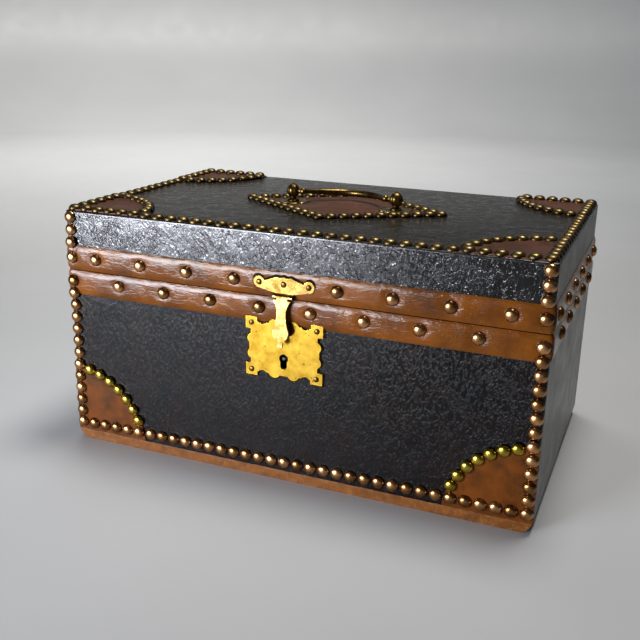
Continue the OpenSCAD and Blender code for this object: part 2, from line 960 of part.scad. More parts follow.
module lid_patch_studs() {
    step = (90 - 2 * top_arc_low_angle) / (top_arc_count - 1);
    color(bright_brass)
        for (sx = [-1, 1], sy = [-1, 1], i = [0:top_arc_count - 1]) {
            a = top_arc_low_angle + i * step;
            top_stud(sx * (hx - arc_r * cos(a)), sy * (hy - arc_r * sin(a)),
                     small_stud_d, small_stud_h, patch_t);
        }
}

module lid_band_studs() {
    front_n = floor((hx - column_in - stud_d) / band_pitch);
    side_n = floor((hy - stud_d) / side_pitch - 0.5);
    color(aged_brass) {
        back_stud(0, lid_row_z, stud_d, stud_h, band_t);
        for (s = [-1, 1], i = [1:front_n]) {
            x = s * i * band_pitch;
            front_stud(x, lid_row_z, stud_d, stud_h, band_t);
            if (clear_of_hinge(x)) back_stud(x, lid_row_z, stud_d, stud_h, band_t);
        }
        for (s = [-1, 1], t = [-1, 1], i = [0:side_n])
            side_stud(s, t * (i + 0.5) * side_pitch, lid_row_z, stud_d, stud_h, band_t);
    }
}

module lid_diamond_studs() {
    color(bright_brass)
        for (sx = [-1, 1], sy = [-1, 1], i = [0:diamond_steps - 1]) {
            t = i / diamond_steps;
            x = sx * diamond_x * (sx * sy > 0 ? 1 - t : t);
            y = sy * diamond_y * (sx * sy > 0 ? t : 1 - t);
            top_stud(x, y, diamond_stud_d, small_stud_h, patch_t);
        }
}

// ---- Handle ----

module post(side) {
    foot_t = 0.8;
    flare_h = 1.6;
    finial_d = 2.6;
    base_z = patch_top + rosette_t;
    bore_in = 1.2;
    shank_out = 4;
    shank_low = ceiling_z - lining_t - shank_out;
    color(dark_brass)
        translate([side * post_span / 2, 0, 0])
            difference() {
                union() {
                    translate([0, 0, base_z]) cylinder(d = foot_d, h = foot_t);
                    translate([0, 0, base_z + foot_t]) cylinder(d1 = foot_d - 0.8, d2 = neck_d, h = flare_h);
                    translate([0, 0, base_z]) cylinder(d = neck_d, h = ball_z - base_z);
                    translate([0, 0, ball_z]) sphere(d = ball_d);
                    translate([0, 0, ball_z + ball_r - 0.4]) cylinder(d1 = finial_d, d2 = finial_d / 2, h = 1);
                    translate([0, 0, shank_low]) cylinder(d = shank_d, h = base_z - shank_low);
                }
                translate([side * bore_in, 0, ball_z]) rotate([0, -side * 90, 0])
                    cylinder(d = bail_pin_d + 2 * run, h = ball_d);
            }
}

module handle_left_post() {
    post(-1);
}

module handle_right_post() {
    post(1);
}

module rosette(side) {
    lobes = 8;
    lobe_d = 7;
    ring_r = (rosette_d - lobe_d) / 2;
    color(dark_brass)
        translate([side * post_span / 2, 0, patch_top])
            linear_extrude(rosette_t)
                difference() {
                    union() {
                        circle(ring_r + 1.2);
                        for (i = [0:lobes - 1])
                            rotate(360 * (i + 0.5) / lobes) translate([ring_r, 0]) circle(d = lobe_d);
                    }
                    circle(d = shank_d + 2 * run);
                }
}

module handle_left_rosette() {
    rosette(-1);
}

module handle_right_rosette() {
    rosette(1);
}

module handle_nuts() {
    nut_d = 8.6;
    nut_t = 3;
    color(aged_brass)
        for (s = [-1, 1])
            translate([s * post_span / 2, 0, ceiling_z - lining_t - nut_t])
                difference() {
                    cylinder(d = nut_d, h = nut_t, $fn = 6);
                    translate([0, 0, -past]) cylinder(d = shank_d + 2 * run, h = nut_t + 2 * past);
                }
}

// Distance of the bail's bar from its pivot line, for a place s from -1 to 1 along it
function bail_bow(s) = bail_start + (bail_reach - bail_start) * (1 - s * s);

// Slope angle of the bar there, the same as its seat's at both ends
function bail_tilt(s) = -atan(tan(seat_angle) * s);

// The bar's radius there
function bail_bar_r(s) = grip_d / 2 - (grip_d - bail_end_d) / 2 * pow(abs(s), 2.4);

// Puts a shape drawn round the pivot line at zero to its place at rest
module at_bail_rest() {
    translate([0, 0, ball_z]) rotate([-bail_angle, 0, 0]) children();
}

module bail_grip() {
    rings = 40;
    sides = 20;
    points = [
        for (i = [0:rings])
            let (s = -cos(180 * i / rings), r = bail_bar_r(s), a = bail_tilt(s))
                for (k = [0:sides - 1])
                    let (f = 360 * k / sides)
                        [bail_half * s - r * cos(f) * sin(a), bail_bow(s) + r * cos(f) * cos(a), r * sin(f)]
    ];
    skin = [
        for (i = [0:rings - 1], k = [0:sides - 1])
            let (n = (k + 1) % sides, b = i * sides)
                each [[b + k, b + sides + k, b + sides + n], [b + k, b + sides + n, b + n]]
    ];
    caps = [
        [for (k = [0:sides - 1]) k],
        [for (k = [0:sides - 1]) rings * sides + sides - 1 - k]
    ];
    color(dark_brass)
        at_bail_rest() polyhedron(points, concat(skin, caps));
}

module bail_ends() {
    pin_past = 0.6;
    // A hair of solder between the knob and the bar
    seat = seat_depth - 0.02;
    color(dark_brass)
        at_bail_rest() {
            for (s = [-1, 1])
                translate([s * knob_x, 0, 0]) rotate([0, 0, -s * seat_angle]) rotate([0, -s * 90, 0])
                    difference() {
                        sphere(d = knob_ball_d);
                        block([-knob_ball_d, -knob_ball_d, seat], [knob_ball_d, knob_ball_d, knob_ball_d]);
                    }
            for (s = [-1, 1])
                translate([s * knob_x, 0, 0]) rotate([0, s * 90, 0])
                    cylinder(d = bail_pin_d, h = post_span / 2 - knob_x + pin_past);
        }
}

// ---- Hasp ----

module hasp_plate() {
    eye_r = 4;
    crown_r = 3.4;
    crown_up = 1.4;
    lobe_x = 5.2;
    lobe_r = 3.2;
    lobe_lean = 68;
    arm_in = 0.3;
    bite = 0.16;
    low_x = 8.8;
    low_down = 6;
    arm_top_x = lobe_x + (lobe_r - bite) * cos(lobe_lean);
    arm_top_z = crown_up + (lobe_r - bite) * sin(lobe_lean);
    tab_gap = 0.2;
    tab_w = knuckle_w / 2 - tongue_knuckle_w / 2 - tab_gap;
    color(bright_brass)
        difference() {
            union() {
                translate([0, -hy - band_t, 0]) rotate([90, 0, 0]) linear_extrude(hasp_t)
                    union() {
                        translate([0, plate_mid_z + crown_up]) circle(crown_r);
                        for (s = [-1, 1]) {
                            translate([s * lobe_x, plate_mid_z + crown_up]) circle(lobe_r);
                            translate([s * eye_span / 2, plate_mid_z]) circle(eye_r);
                        }
                        translate([0, plate_mid_z])
                            polygon([
                                [-arm_top_x, arm_top_z],
                                [arm_top_x, arm_top_z],
                                [eye_span / 2, -arm_in],
                                [eye_span / 2, bite - eye_r],
                                [low_x, -low_down],
                                [-low_x, -low_down],
                                [-eye_span / 2, bite - eye_r],
                                [-eye_span / 2, -arm_in]
                            ]);
                        translate([-knuckle_w / 2, hasp_z + knuckle_r + air])
                            square([knuckle_w, plate_mid_z - hasp_z - knuckle_r - air]);
                        for (s = [-1, 1])
                            translate([s * (knuckle_w - tab_w) / 2 - tab_w / 2, hasp_z])
                                square([tab_w, plate_mid_z - hasp_z]);
                    }
                for (s = [-1, 1])
                    translate([s * (knuckle_w - tab_w) / 2 - tab_w / 2, hasp_y, hasp_z]) rotate([0, 90, 0])
                        cylinder(r = knuckle_r, h = tab_w);
            }
            translate([-knuckle_w, hasp_y, hasp_z]) rotate([0, 90, 0])
                cylinder(r = hasp_pin_r + run, h = 2 * knuckle_w);
        }
}

module hasp_plate_pins() {
    pin_d = 4.2;
    pin_h = 0.9;
    color(dark_brass)
        for (s = [-1:1])
            translate([s * eye_span / 2, -hy - band_t - hasp_t, plate_mid_z])
                rotate([90, 0, 0]) dome(pin_d, pin_h);
}

module hasp_pin() {
    color(dark_brass)
        translate([-knuckle_w / 2, hasp_y, hasp_z]) rotate([0, 90, 0])
            cylinder(r = hasp_pin_r, h = knuckle_w);
}

// Puts a shape that hangs straight down from the hinge pin at its resting lean
module at_rest_lean() {
    translate([0, hasp_y, hasp_z]) rotate([-rest_lean, 0, 0]) children();
}

// The waisted outline of the tongue, with the hinge pin at zero
module tongue_outline() {
    top_z = -knuckle_r - air - 0.1;
    rise = waist_drop + top_z;
    flare = (shoulder_w - waist_w) / 2;
    upper_r = (rise * rise + flare * flare) / (2 * flare);
    a = waist_w / 2;
    b = bulb_w / 2;
    d = bulb_drop - waist_drop;
    lower_r = (d * d + a * a - b * b) / (2 * (b - a));
    meet_z = -bulb_drop + b * d / (lower_r + b);
    neck_w = 3.2;
    difference() {
        union() {
            translate([-shoulder_w / 2, -waist_drop]) square([shoulder_w, rise]);
            translate([-b, meet_z]) square([bulb_w, -waist_drop - meet_z]);
            translate([-tongue_knuckle_w / 2, -waist_drop]) square([tongue_knuckle_w, waist_drop]);
        }
        for (s = [-1, 1]) {
            intersection() {
                translate([s * (a + upper_r), -waist_drop]) circle(upper_r);
                translate([-shoulder_w, -waist_drop]) square([2 * shoulder_w, rise + past]);
            }
            intersection() {
                translate([s * (a + lower_r), -waist_drop]) circle(lower_r);
                translate([-bulb_w, -bulb_drop]) square([2 * bulb_w, d]);
            }
        }
    }
    translate([0, -bulb_drop]) circle(b);
    translate([-neck_w / 2, -knob_drop]) square([neck_w, knob_drop - bulb_drop]);
    translate([0, -knob_drop]) circle(knob_r);
}

module hasp_tongue() {
    color(bright_brass)
        at_rest_lean()
            difference() {
                union() {
                    translate([0, -tongue_back, 0]) rotate([90, 0, 0]) linear_extrude(tongue_t) tongue_outline();
                    translate([-tongue_knuckle_w / 2, 0, 0]) rotate([0, 90, 0])
                        cylinder(r = knuckle_r, h = tongue_knuckle_w);
                }
                translate([-tongue_knuckle_w, 0, 0]) rotate([0, 90, 0])
                    cylinder(r = hasp_pin_r + run, h = 2 * tongue_knuckle_w);
            }
}

module hasp_staple() {
    color(dark_brass)
        at_rest_lean()
            translate([0, -tongue_back, -staple_drop])
                difference() {
                    block([-staple_w / 2, 0, -staple_half_h], [staple_w / 2, staple_reach, staple_half_h]);
                    block([-staple_w, 0.6, -eye_h / 2], [staple_w, staple_reach - bar_t, eye_h / 2]);
                }
}

base_bottom_board();
base_front_board();
base_back_board();
base_left_board();
base_right_board();
base_bottom_leather();
base_front_leather();
base_wrap_leather();
base_foot_strip();
base_rim_band();
base_left_patch();
base_right_patch();
base_edge_studs();
base_patch_studs();
base_band_studs();
base_lining();
lock_plate();
lock_plate_pins();
lock_case();
lock_drill_pin();
lock_bolt();
hinge_left_base_leaf();
hinge_right_base_leaf();
hinge_pins();
hinge_base_screws();
lid_top_board();
lid_front_board();
lid_back_board();
lid_left_board();
lid_right_board();
lid_top_leather();
lid_front_leather();
lid_wrap_leather();
lid_rim_band();
lid_patch_front_left();
lid_patch_front_right();
lid_patch_back_left();
lid_patch_back_right();
lid_diamond_patch();
lid_edge_studs();
lid_patch_studs();
lid_band_studs();
lid_diamond_studs();
lid_lining();
handle_left_post();
handle_right_post();
handle_left_rosette();
handle_right_rosette();
handle_nuts();
hasp_plate();
hasp_plate_pins();
hasp_pin();
hinge_left_lid_leaf();
hinge_right_lid_leaf();
hinge_lid_screws();
bail_grip();
bail_ends();
hasp_tongue();
hasp_staple();
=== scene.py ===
"""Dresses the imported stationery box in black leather, tan bands and brass."""
import json
import logging
import math
import random
from dataclasses import dataclass, field
from enum import Enum
from functools import partial
from typing import Callable, Iterable, Sequence

import bpy
from mathutils import Matrix, Vector, noise


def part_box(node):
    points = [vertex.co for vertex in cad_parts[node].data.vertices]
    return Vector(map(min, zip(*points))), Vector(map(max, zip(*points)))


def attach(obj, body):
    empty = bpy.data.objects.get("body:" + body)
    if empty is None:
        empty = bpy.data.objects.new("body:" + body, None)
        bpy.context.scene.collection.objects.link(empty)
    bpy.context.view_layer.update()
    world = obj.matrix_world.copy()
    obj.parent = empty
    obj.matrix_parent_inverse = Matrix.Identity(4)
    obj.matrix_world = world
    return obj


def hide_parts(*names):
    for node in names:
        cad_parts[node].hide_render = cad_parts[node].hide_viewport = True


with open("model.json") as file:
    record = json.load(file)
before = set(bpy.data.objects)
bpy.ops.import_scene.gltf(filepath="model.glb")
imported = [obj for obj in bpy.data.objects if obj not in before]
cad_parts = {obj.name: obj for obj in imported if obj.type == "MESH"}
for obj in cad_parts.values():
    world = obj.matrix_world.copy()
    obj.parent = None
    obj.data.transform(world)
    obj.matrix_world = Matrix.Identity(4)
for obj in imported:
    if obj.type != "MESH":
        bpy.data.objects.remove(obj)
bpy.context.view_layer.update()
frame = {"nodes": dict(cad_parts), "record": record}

LOG = logging.getLogger("stationery_box")
MM = 0.001
# The finest distance that counts, and how much of a face's normal has to point one way
FINE = 0.001 * MM
FACING = 0.9
BODY_OF = {
    node: body
    for body, nodes in frame["record"]["behaviour"]["bodies"].items()
    for node in nodes
}
Socket = bpy.types.NodeSocket
Piece = bpy.types.Object
Span = tuple[float, float]
Move = Callable[[], object]
TINT = {"out": 2, "data_type": "RGBA"}
GLOSS_SPAN = (0.35, 0.7)


# ---- Modelling by hand ----


class Part(Enum):
    """What a pick selects, with the edit mode's select mode for it."""

    VERTS = (True, False, False)
    EDGES = (False, True, False)
    FACES = (False, False, True)


class Stock(Enum):
    """The primitive that a piece is started from."""

    CUBE = "cube"
    CIRCLE = "circle"
    PLANE = "plane"


def start(stock: Stock, name: str, **size: object) -> Piece:
    """Adds a primitive at its size and place, alone in the selection.

    Args:
        stock: Which primitive.
        name: The piece's name.
        **size: The primitive operator's own settings.

    Returns:
        The new object, with its transform applied.
    """
    bpy.ops.object.select_all(action="DESELECT")
    getattr(bpy.ops.mesh, f"primitive_{stock.value}_add")(**size)
    piece = bpy.context.active_object
    piece.name = name
    bpy.ops.object.transform_apply(location=True, rotation=True, scale=True)
    return piece


def only(piece: Piece) -> None:
    """Makes a piece the one selected and active object.

    Args:
        piece: The object to select.
    """
    bpy.ops.object.select_all(action="DESELECT")
    piece.select_set(True)
    bpy.context.view_layer.objects.active = piece


def pick(piece: Piece, part: Part, test: Callable[[Vector, Vector], bool]) -> None:
    """Selects vertices, edges or faces by their place and direction.

    Args:
        piece: The object whose mesh is picked from.
        part: What to pick.
        test: Takes a middle point and a normal, or an edge's vector, and says yes or no.
    """
    mesh = piece.data
    for group in (mesh.vertices, mesh.edges, mesh.polygons):
        group.foreach_set("select", [False] * len(group))
    bpy.context.tool_settings.mesh_select_mode = part.value
    if part is Part.FACES:
        rows = [(face, face.center, face.normal) for face in mesh.polygons]
    elif part is Part.EDGES:
        ends = [[mesh.vertices[i].co for i in edge.vertices] for edge in mesh.edges]
        rows = [(edge, (a + b) / 2, b - a) for edge, (a, b) in zip(mesh.edges, ends)]
    else:
        rows = [(vertex, vertex.co, vertex.normal) for vertex in mesh.vertices]
    for element, place, way in rows:
        element.select = bool(test(place, way))


def edit(piece: Piece, *moves: Move) -> None:
    """Runs edit-mode moves on what is picked.

    Args:
        piece: The object to edit.
        *moves: Operators with their settings bound, in order.
    """
    only(piece)
    bpy.ops.object.mode_set(mode="EDIT")
    for move in moves:
        move()
    bpy.ops.object.mode_set(mode="OBJECT")


def pull(x: float, y: float, z: float) -> Move:
    """An extrusion of what is picked, by that move."""
    move = {"value": (x, y, z)}
    return partial(bpy.ops.mesh.extrude_region_move, TRANSFORM_OT_translate=move)


def widen(factor: float) -> Move:
    """A resize of what is picked, sideways only."""
    return partial(bpy.ops.transform.resize, value=(factor, factor, 1))


def bisect_all(piece: Piece, cuts: Iterable[tuple[Vector, Vector]]) -> None:
    """Cuts the whole mesh along planes, which adds edges and takes nothing away.

    Args:
        piece: The object to cut.
        cuts: Each plane's point and normal.
    """
    only(piece)
    bpy.context.tool_settings.mesh_select_mode = Part.FACES.value
    bpy.ops.object.mode_set(mode="EDIT")
    for point, normal in cuts:
        bpy.ops.mesh.select_all(action="SELECT")
        bpy.ops.mesh.bisect(plane_co=point, plane_no=normal)
    bpy.ops.object.mode_set(mode="OBJECT")


def right_way_out(piece: Piece) -> None:
    """Merges doubles and points every face outwards.

    Args:
        piece: The object to mend.
    """
    pick(piece, Part.VERTS, lambda place, way: True)
    edit(
        piece,
        partial(bpy.ops.mesh.select_all, action="SELECT"),
        partial(bpy.ops.mesh.remove_doubles, threshold=2 * FINE),
        partial(bpy.ops.mesh.normals_make_consistent, inside=False),
    )


def smooth(piece: Piece, degrees: float = 35) -> None:
    """Shades a piece smooth across all but its sharp edges."""
    only(piece)
    bpy.ops.object.shade_smooth_by_angle(angle=math.radians(degrees))


def apply_modifier(piece: Piece, kind: str, **settings: object) -> None:
    """Adds a modifier with its settings and applies it.

    Args:
        piece: The object to change.
        kind: The modifier's type.
        **settings: The modifier's own settings.
    """
    only(piece)
    modifier = piece.modifiers.new(kind.lower(), kind)
    for key, value in settings.items():
        setattr(modifier, key, value)
    bpy.ops.object.modifier_apply(modifier=modifier.name)


def move_points(piece: Piece, rule: Callable[[Vector], Vector]) -> None:
    """Moves every vertex to where a rule puts it.

    Args:
        piece: The object to shape.
        rule: Takes a vertex's place and gives its new one.
    """
    for vertex in piece.data.vertices:
        vertex.co = rule(vertex.co.copy())
    piece.data.update()


def copy_of(piece: Piece, name: str) -> Piece:
    """Copies a piece with its own mesh.

    Args:
        piece: The object to copy.
        name: The copy's name.

    Returns:
        The copy, in the scene.
    """
    copy = bpy.data.objects.new(name, piece.data.copy())
    bpy.context.scene.collection.objects.link(copy)
    return copy


def join(pieces: Sequence[Piece], name: str) -> Piece:
    """Joins pieces into one object.

    Args:
        pieces: The objects to join, at least one.
        name: The joined object's name.

    Returns:
        The joined object.
    """
    bpy.ops.object.select_all(action="DESELECT")
    for piece in pieces:
        piece.select_set(True)
    bpy.context.view_layer.objects.active = pieces[0]
    if len(pieces) > 1:
        bpy.ops.object.join()
    pieces[0].name = name
    return pieces[0]


def dress(piece: Piece, material: bpy.types.Material) -> Piece:
    """Gives a piece one material.

    Args:
        piece: The object to dress.
        material: Its finish.

    Returns:
        The piece.
    """
    piece.data.materials.clear()
    piece.data.materials.append(material)
    return piece


def report(piece: Piece, body: str) -> None:
    """Logs a finished piece and the body that it rides on."""
    LOG.info("%s: %d faces on %s", piece.name, len(piece.data.polygons), body)


def stand_for(piece: Piece, node: str) -> None:
    """Puts a piece in place of a CAD node, on its body, and hides the node.

    Args:
        piece: The dressed piece.
        node: The node that it stands for.
    """
    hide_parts(node)
    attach(piece, BODY_OF[node])
    report(piece, BODY_OF[node])


# ---- Finishes ----


def linear(code: str) -> tuple[float, float, float, float]:
    """Turns an sRGB hex colour into linear RGBA.

    Args:
        code: Six hex digits.

    Returns:
        Red, green, blue and alpha.
    """
    parts = [int(code[i : i + 2], 16) / 255 for i in (0, 2, 4)]
    curved = [c / 12.92 if c <= 0.04045 else ((c + 0.055) / 1.055) ** 2.4 for c in parts]
    return (*curved, 1.0)


class Recipe:
    """A material under construction: its tree, its shader and the patterns that finishes share."""

    def __init__(self, name: str) -> None:
        """Opens a new material.

        Args:
            name: The material's name.
        """
        self.material = bpy.data.materials.new(name)
        self.material.use_nodes = True
        self.tree = self.material.node_tree
        self.shader = self.tree.nodes["Principled BSDF"]
        self.place = self.add("TexCoord", {}, "Object")

    def add(
        self, kind: str, feeds: dict[int | str, object], out: int | str = 0, **settings: object
    ) -> Socket:
        """Adds a node with its settings, its constants and its links.

        Args:
            kind: The shader node's type, without its prefix.
            feeds: What goes into each input: a socket to link, or a constant.
            out: Which output to hand back.
            **settings: The node's own settings.

        Returns:
            The chosen output.
        """
        made = self.tree.nodes.new(f"ShaderNode{kind}")
        for key, value in settings.items():
            setattr(made, key, value)
        for key, value in feeds.items():
            if isinstance(value, Socket):
                self.tree.links.new(value, made.inputs[key])
            else:
                made.inputs[key].default_value = value
        return made.outputs[out]

    def patches(
        self,
        size_mm: float,
        detail: float,
        span: Span = (0.0, 1.0),
        ends: Span = (0.0, 1.0),
        where: Socket | None = None,
    ) -> Socket:
        """Draws soft, irregular patches.

        Args:
            size_mm: About how wide a patch is.
            detail: How many finer patterns lie on the first.
            span: The pattern's own values at which the ends are reached.
            ends: The values outside the patches and inside them.
            where: The place that the pattern reads, if not the piece's own.

        Returns:
            The value at each point.
        """
        feeds = {"Vector": where or self.place, "Scale": 1 / (size_mm * MM), "Detail": detail}
        level = self.add("TexNoise", feeds | {"Roughness": 0.6})
        feeds = {"From Min": span[0], "From Max": span[1], "To Min": ends[0], "To Max": ends[1]}
        return self.add("MapRange", {"Value": level} | feeds)

    def swells(
        self,
        size_mm: float,
        depth_mm: float,
        detail: float,
        under: Socket | None = None,
        where: Socket | None = None,
    ) -> Socket:
        """Raises soft swells.

        Args:
            size_mm: About how wide a swell is.
            depth_mm: How far its top stands above its foot.
            detail: How many finer swells lie on the first.
            under: The relief that they lie on, if any.
            where: The place that the pattern reads, if not the piece's own.

        Returns:
            The relief.
        """
        height = self.patches(size_mm, detail, where=where)
        feeds = {"Height": height, "Distance": depth_mm * MM}
        return self.add("Bump", feeds | ({"Normal": under} if under else {}))

    def wander(self, size_mm: float, reach_mm: float) -> Socket:
        """Pushes the place about, so that a pattern on it is irregular.

        Args:
            size_mm: About how far it is from one push to the next.
            reach_mm: How far the strongest push goes.

        Returns:
            The pushed place.
        """
        feeds = {"Vector": self.place, "Scale": 1 / (size_mm * MM), "Detail": 2.0}
        push = self.add("TexNoise", feeds, "Color")
        push = self.add("VectorMath", {0: push, 1: (0.5, 0.5, 0.5)}, operation="SUBTRACT")
        push = self.add("VectorMath", {0: push, "Scale": reach_mm * MM}, operation="SCALE")
        return self.add("VectorMath", {0: self.place, 1: push}, operation="ADD")

    def close(
        self, colour: Socket, rough: Socket, normal: Socket, **constants: float
    ) -> bpy.types.Material:
        """Links the shader and hands back the material.

        Args:
            colour: The base colour.
            rough: The roughness.
            normal: The normal.
            **constants: Shader sockets that are the same all over, with spaces as underscores.

        Returns:
            The finished material.
        """
        self.tree.links.new(colour, self.shader.inputs["Base Color"])
        self.tree.links.new(rough, self.shader.inputs["Roughness"])
        self.tree.links.new(normal, self.shader.inputs["Normal"])
        for key, value in constants.items():
            self.shader.inputs[key.replace("_", " ")].default_value = value
        return self.material


@dataclass(frozen=True)
class Leather:
    """Dyed hide, glazed or waxed, pebbled and, where it has dried out, crazed."""

    name: str
    dye: str
    shade: str
    rub: str
    cloud_mm: float
    grain_mm: float
    grain_depth_mm: float
    crease_mm: float
    crease_depth_mm: float
    rough: Span
    rub_share: float
    shine: float
    wrinkle_mm: float = 0.0
    wrinkle_way: tuple[float, float, float] = (1.0, 1.0, 0.45)
    wrinkle_depth_mm: float = 0.0
    crack_mm: float = 0.0
    crack_way: tuple[float, float, float] = (1.0, 1.0, 0.6)
    crack_depth_mm: float = 0.0
    cloud_span: Span = (0.38, 0.66)
    worn_span: Span = (0.45, 0.75)
    whole_span: Span = (0.46, 0.6)
    ridge_share: float = 0.06
    crack_share: float = 0.07
    pebble_share: float = 0.6
    rub_size: float = 0.45
    gloss_size: float = 0.3
    whole_size: float = 3.0
    # How far apart and how strong the pushes are that bend a pattern, times the pattern's size
    grain_bend: Span = (3.0, 1.4)
    crack_bend: Span = (1.3, 1.6)

    def make(self) -> bpy.types.Material:
        """Builds the material.

        Returns:
            The finished material.
        """
        mix = Recipe(self.name)
        bent = mix.wander(*(self.grain_mm * bend for bend in self.grain_bend))
        pebble = mix.add(
            "TexVoronoi", {"Vector": bent, "Scale": 1 / (self.grain_mm * MM)}, feature="F1"
        )
        ends = {"From Min": self.pebble_share, "From Max": 0.0}
        top = mix.add("MapRange", {"Value": pebble} | ends)
        cloud = mix.patches(self.cloud_mm, 5.0, self.cloud_span)
        colour = mix.add("Mix", {0: cloud, 6: linear(self.dye), 7: linear(self.shade)}, **TINT)
        ends = (0.0, self.rub_share * 2)
        worn = mix.patches(self.cloud_mm * self.rub_size, 6.0, self.worn_span, ends)
        worn = mix.add("Math", {0: worn, 1: top}, operation="MULTIPLY")
        colour = mix.add("Mix", {0: worn, 6: colour, 7: linear(self.rub)}, **TINT)
        rough = mix.patches(self.cloud_mm * self.gloss_size, 4.0, GLOSS_SPAN, self.rough)
        normal = mix.swells(self.crease_mm, self.crease_depth_mm, 4.0)
        feeds = {"Height": top, "Distance": self.grain_depth_mm * MM, "Normal": normal}
        normal = mix.add("Bump", feeds)
        if self.wrinkle_mm:
            normal = self.wrinkles(mix, normal)
        if self.crack_mm:
            colour, normal = self.cracks(mix, colour, normal)
        return mix.close(colour, rough, normal, Specular_IOR_Level=self.shine)

    def wrinkles(self, mix: Recipe, under: Socket) -> Socket:
        """Raises thin ridges, where the glaze has drawn together.

        Args:
            mix: The material under construction.
            under: The relief that the ridges lie on.

        Returns:
            The relief with its ridges.
        """
        drawn = mix.add("Mapping", {"Vector": mix.place, "Scale": self.wrinkle_way})
        level = mix.patches(self.wrinkle_mm, 4.0, where=drawn)
        away = mix.add("Math", {0: level, 1: 0.5}, operation="SUBTRACT")
        away = mix.add("Math", {0: away}, operation="ABSOLUTE")
        ends = {"From Max": self.ridge_share, "To Min": 1.0, "To Max": 0.0}
        ridge = mix.add("MapRange", {"Value": away} | ends)
        feeds = {"Height": ridge, "Distance": self.wrinkle_depth_mm * MM, "Normal": under}
        return mix.add("Bump", feeds)

    def cracks(self, mix: Recipe, colour: Socket, under: Socket) -> tuple[Socket, Socket]:
        """Parts the varnish into flakes with dark cracks between, whole here and there.

        Args:
            mix: The material under construction.
            colour: The colour of the flakes.
            under: The relief that they lie on.

        Returns:
            The colour and the relief with the cracks.
        """
        wild = mix.wander(*(self.crack_mm * bend for bend in self.crack_bend))
        tall = mix.add("Mapping", {"Vector": wild, "Scale": self.crack_way})
        feeds = {"Vector": tall, "Scale": 1 / (self.crack_mm * MM)}
        edge = mix.add("TexVoronoi", feeds, feature="DISTANCE_TO_EDGE")
        flake = mix.add("MapRange", {"Value": edge, "From Max": self.crack_share})
        whole = mix.patches(self.crack_mm * self.whole_size, 2.0, self.whole_span)
        flake = mix.add("Math", {0: flake, 1: whole}, operation="MAXIMUM")
        colour = mix.add("Mix", {0: flake, 6: linear(self.shade), 7: colour}, **TINT)
        feeds = {"Height": flake, "Distance": self.crack_depth_mm * MM, "Normal": under}
        return colour, mix.add("Bump", feeds)


@dataclass(frozen=True)
class Brass:
    """Cast, rolled or stamped brass, polished by hands and darkened by age in patches."""

    name: str
    bright: str
    dull: str
    patina_mm: float
    rough: Span
    dent_mm: float
    dent_depth_mm: float
    patina_span: Span = (0.38, 0.64)
    gloss_size: float = 0.5
    # Rubbing marks, wider apart than real ones, which are too fine to show
    scratch_mm: float = 0.5
    scratch_way: tuple[float, float, float] = (1.0, 1.0, 0.06)
    scratch_depth_mm: float = 0.01
    pit: str = ""
    pit_mm: float = 3.2
    pit_span: Span = (0.1, 0.2)
    pit_bend_mm: Span = (2.0, 1.2)
    pit_group_mm: float = 7.0
    pit_group_span: Span = (0.5, 0.58)

    def base(self, mix: Recipe) -> Socket:
        """Blends the bright and the dull metal.

        Args:
            mix: The material under construction.

        Returns:
            The metal's colour.
        """
        dull = mix.patches(self.patina_mm, 5.0, self.patina_span)
        return mix.add("Mix", {0: dull, 6: linear(self.bright), 7: linear(self.dull)}, **TINT)

    def pits(self, mix: Recipe, colour: Socket) -> Socket:
        """Puts small dark pits on the metal, in groups.

        Args:
            mix: The material under construction.
            colour: The metal's colour.

        Returns:
            The colour with its pits.
        """
        feeds = {"Vector": mix.wander(*self.pit_bend_mm), "Scale": 1 / (self.pit_mm * MM)}
        spot = mix.add("TexVoronoi", feeds, feature="F1")
        ends = {"From Min": self.pit_span[0], "From Max": self.pit_span[1]}
        clean = mix.add("MapRange", {"Value": spot} | ends)
        rare = mix.patches(self.pit_group_mm, 2.0, self.pit_group_span, (1.0, 0.0))
        clean = mix.add("Math", {0: clean, 1: rare}, operation="MAXIMUM")
        return mix.add("Mix", {0: clean, 6: linear(self.pit), 7: colour}, **TINT)

    def make(self) -> bpy.types.Material:
        """Builds the material.

        Returns:
            The finished material.
        """
        mix = Recipe(self.name)
        colour = self.base(mix)
        if self.pit:
            colour = self.pits(mix, colour)
        normal = mix.swells(self.dent_mm, self.dent_depth_mm, 2.0)
        drawn = mix.add("Mapping", {"Vector": mix.place, "Scale": self.scratch_way})
        normal = mix.swells(self.scratch_mm, self.scratch_depth_mm, 2.0, normal, drawn)
        rough = mix.patches(self.patina_mm * self.gloss_size, 5.0, GLOSS_SPAN, self.rough)
        return mix.close(colour, rough, normal, Metallic=1.0)


@dataclass(frozen=True)
class NailBrass(Brass):
    """Stamped nail heads with their own tones; dark round the foot with dirt and painted shade."""

    tone: str = "74522e"
    # Dirt and painted shade round each head's foot
    foot: str = "1c120a"
    dirt_and_shade_foot_share: float = 0.3

    def make(self) -> bpy.types.Material:
        """Builds the material, which reads the nails' tone and crown attributes.

        Returns:
            The finished material.
        """
        mix = Recipe(self.name)
        tone = mix.add("Attribute", {}, "Fac", attribute_name="tone")
        colour = mix.add("Mix", {0: tone, 6: self.base(mix), 7: linear(self.tone)}, **TINT)
        # Darker towards the foot: dirt, and painted shade where the head meets the leather
        crown = mix.add("Attribute", {}, "Fac", attribute_name="crown")
        clean = mix.add("MapRange", {"Value": crown, "From Max": self.dirt_and_shade_foot_share})
        colour = mix.add("Mix", {0: clean, 6: linear(self.foot), 7: colour}, **TINT)
        normal = mix.swells(self.dent_mm, self.dent_depth_mm, 2.0)
        rough = mix.patches(self.patina_mm * self.gloss_size, 4.0, GLOSS_SPAN, self.rough)
        return mix.close(colour, rough, normal, Metallic=1.0)


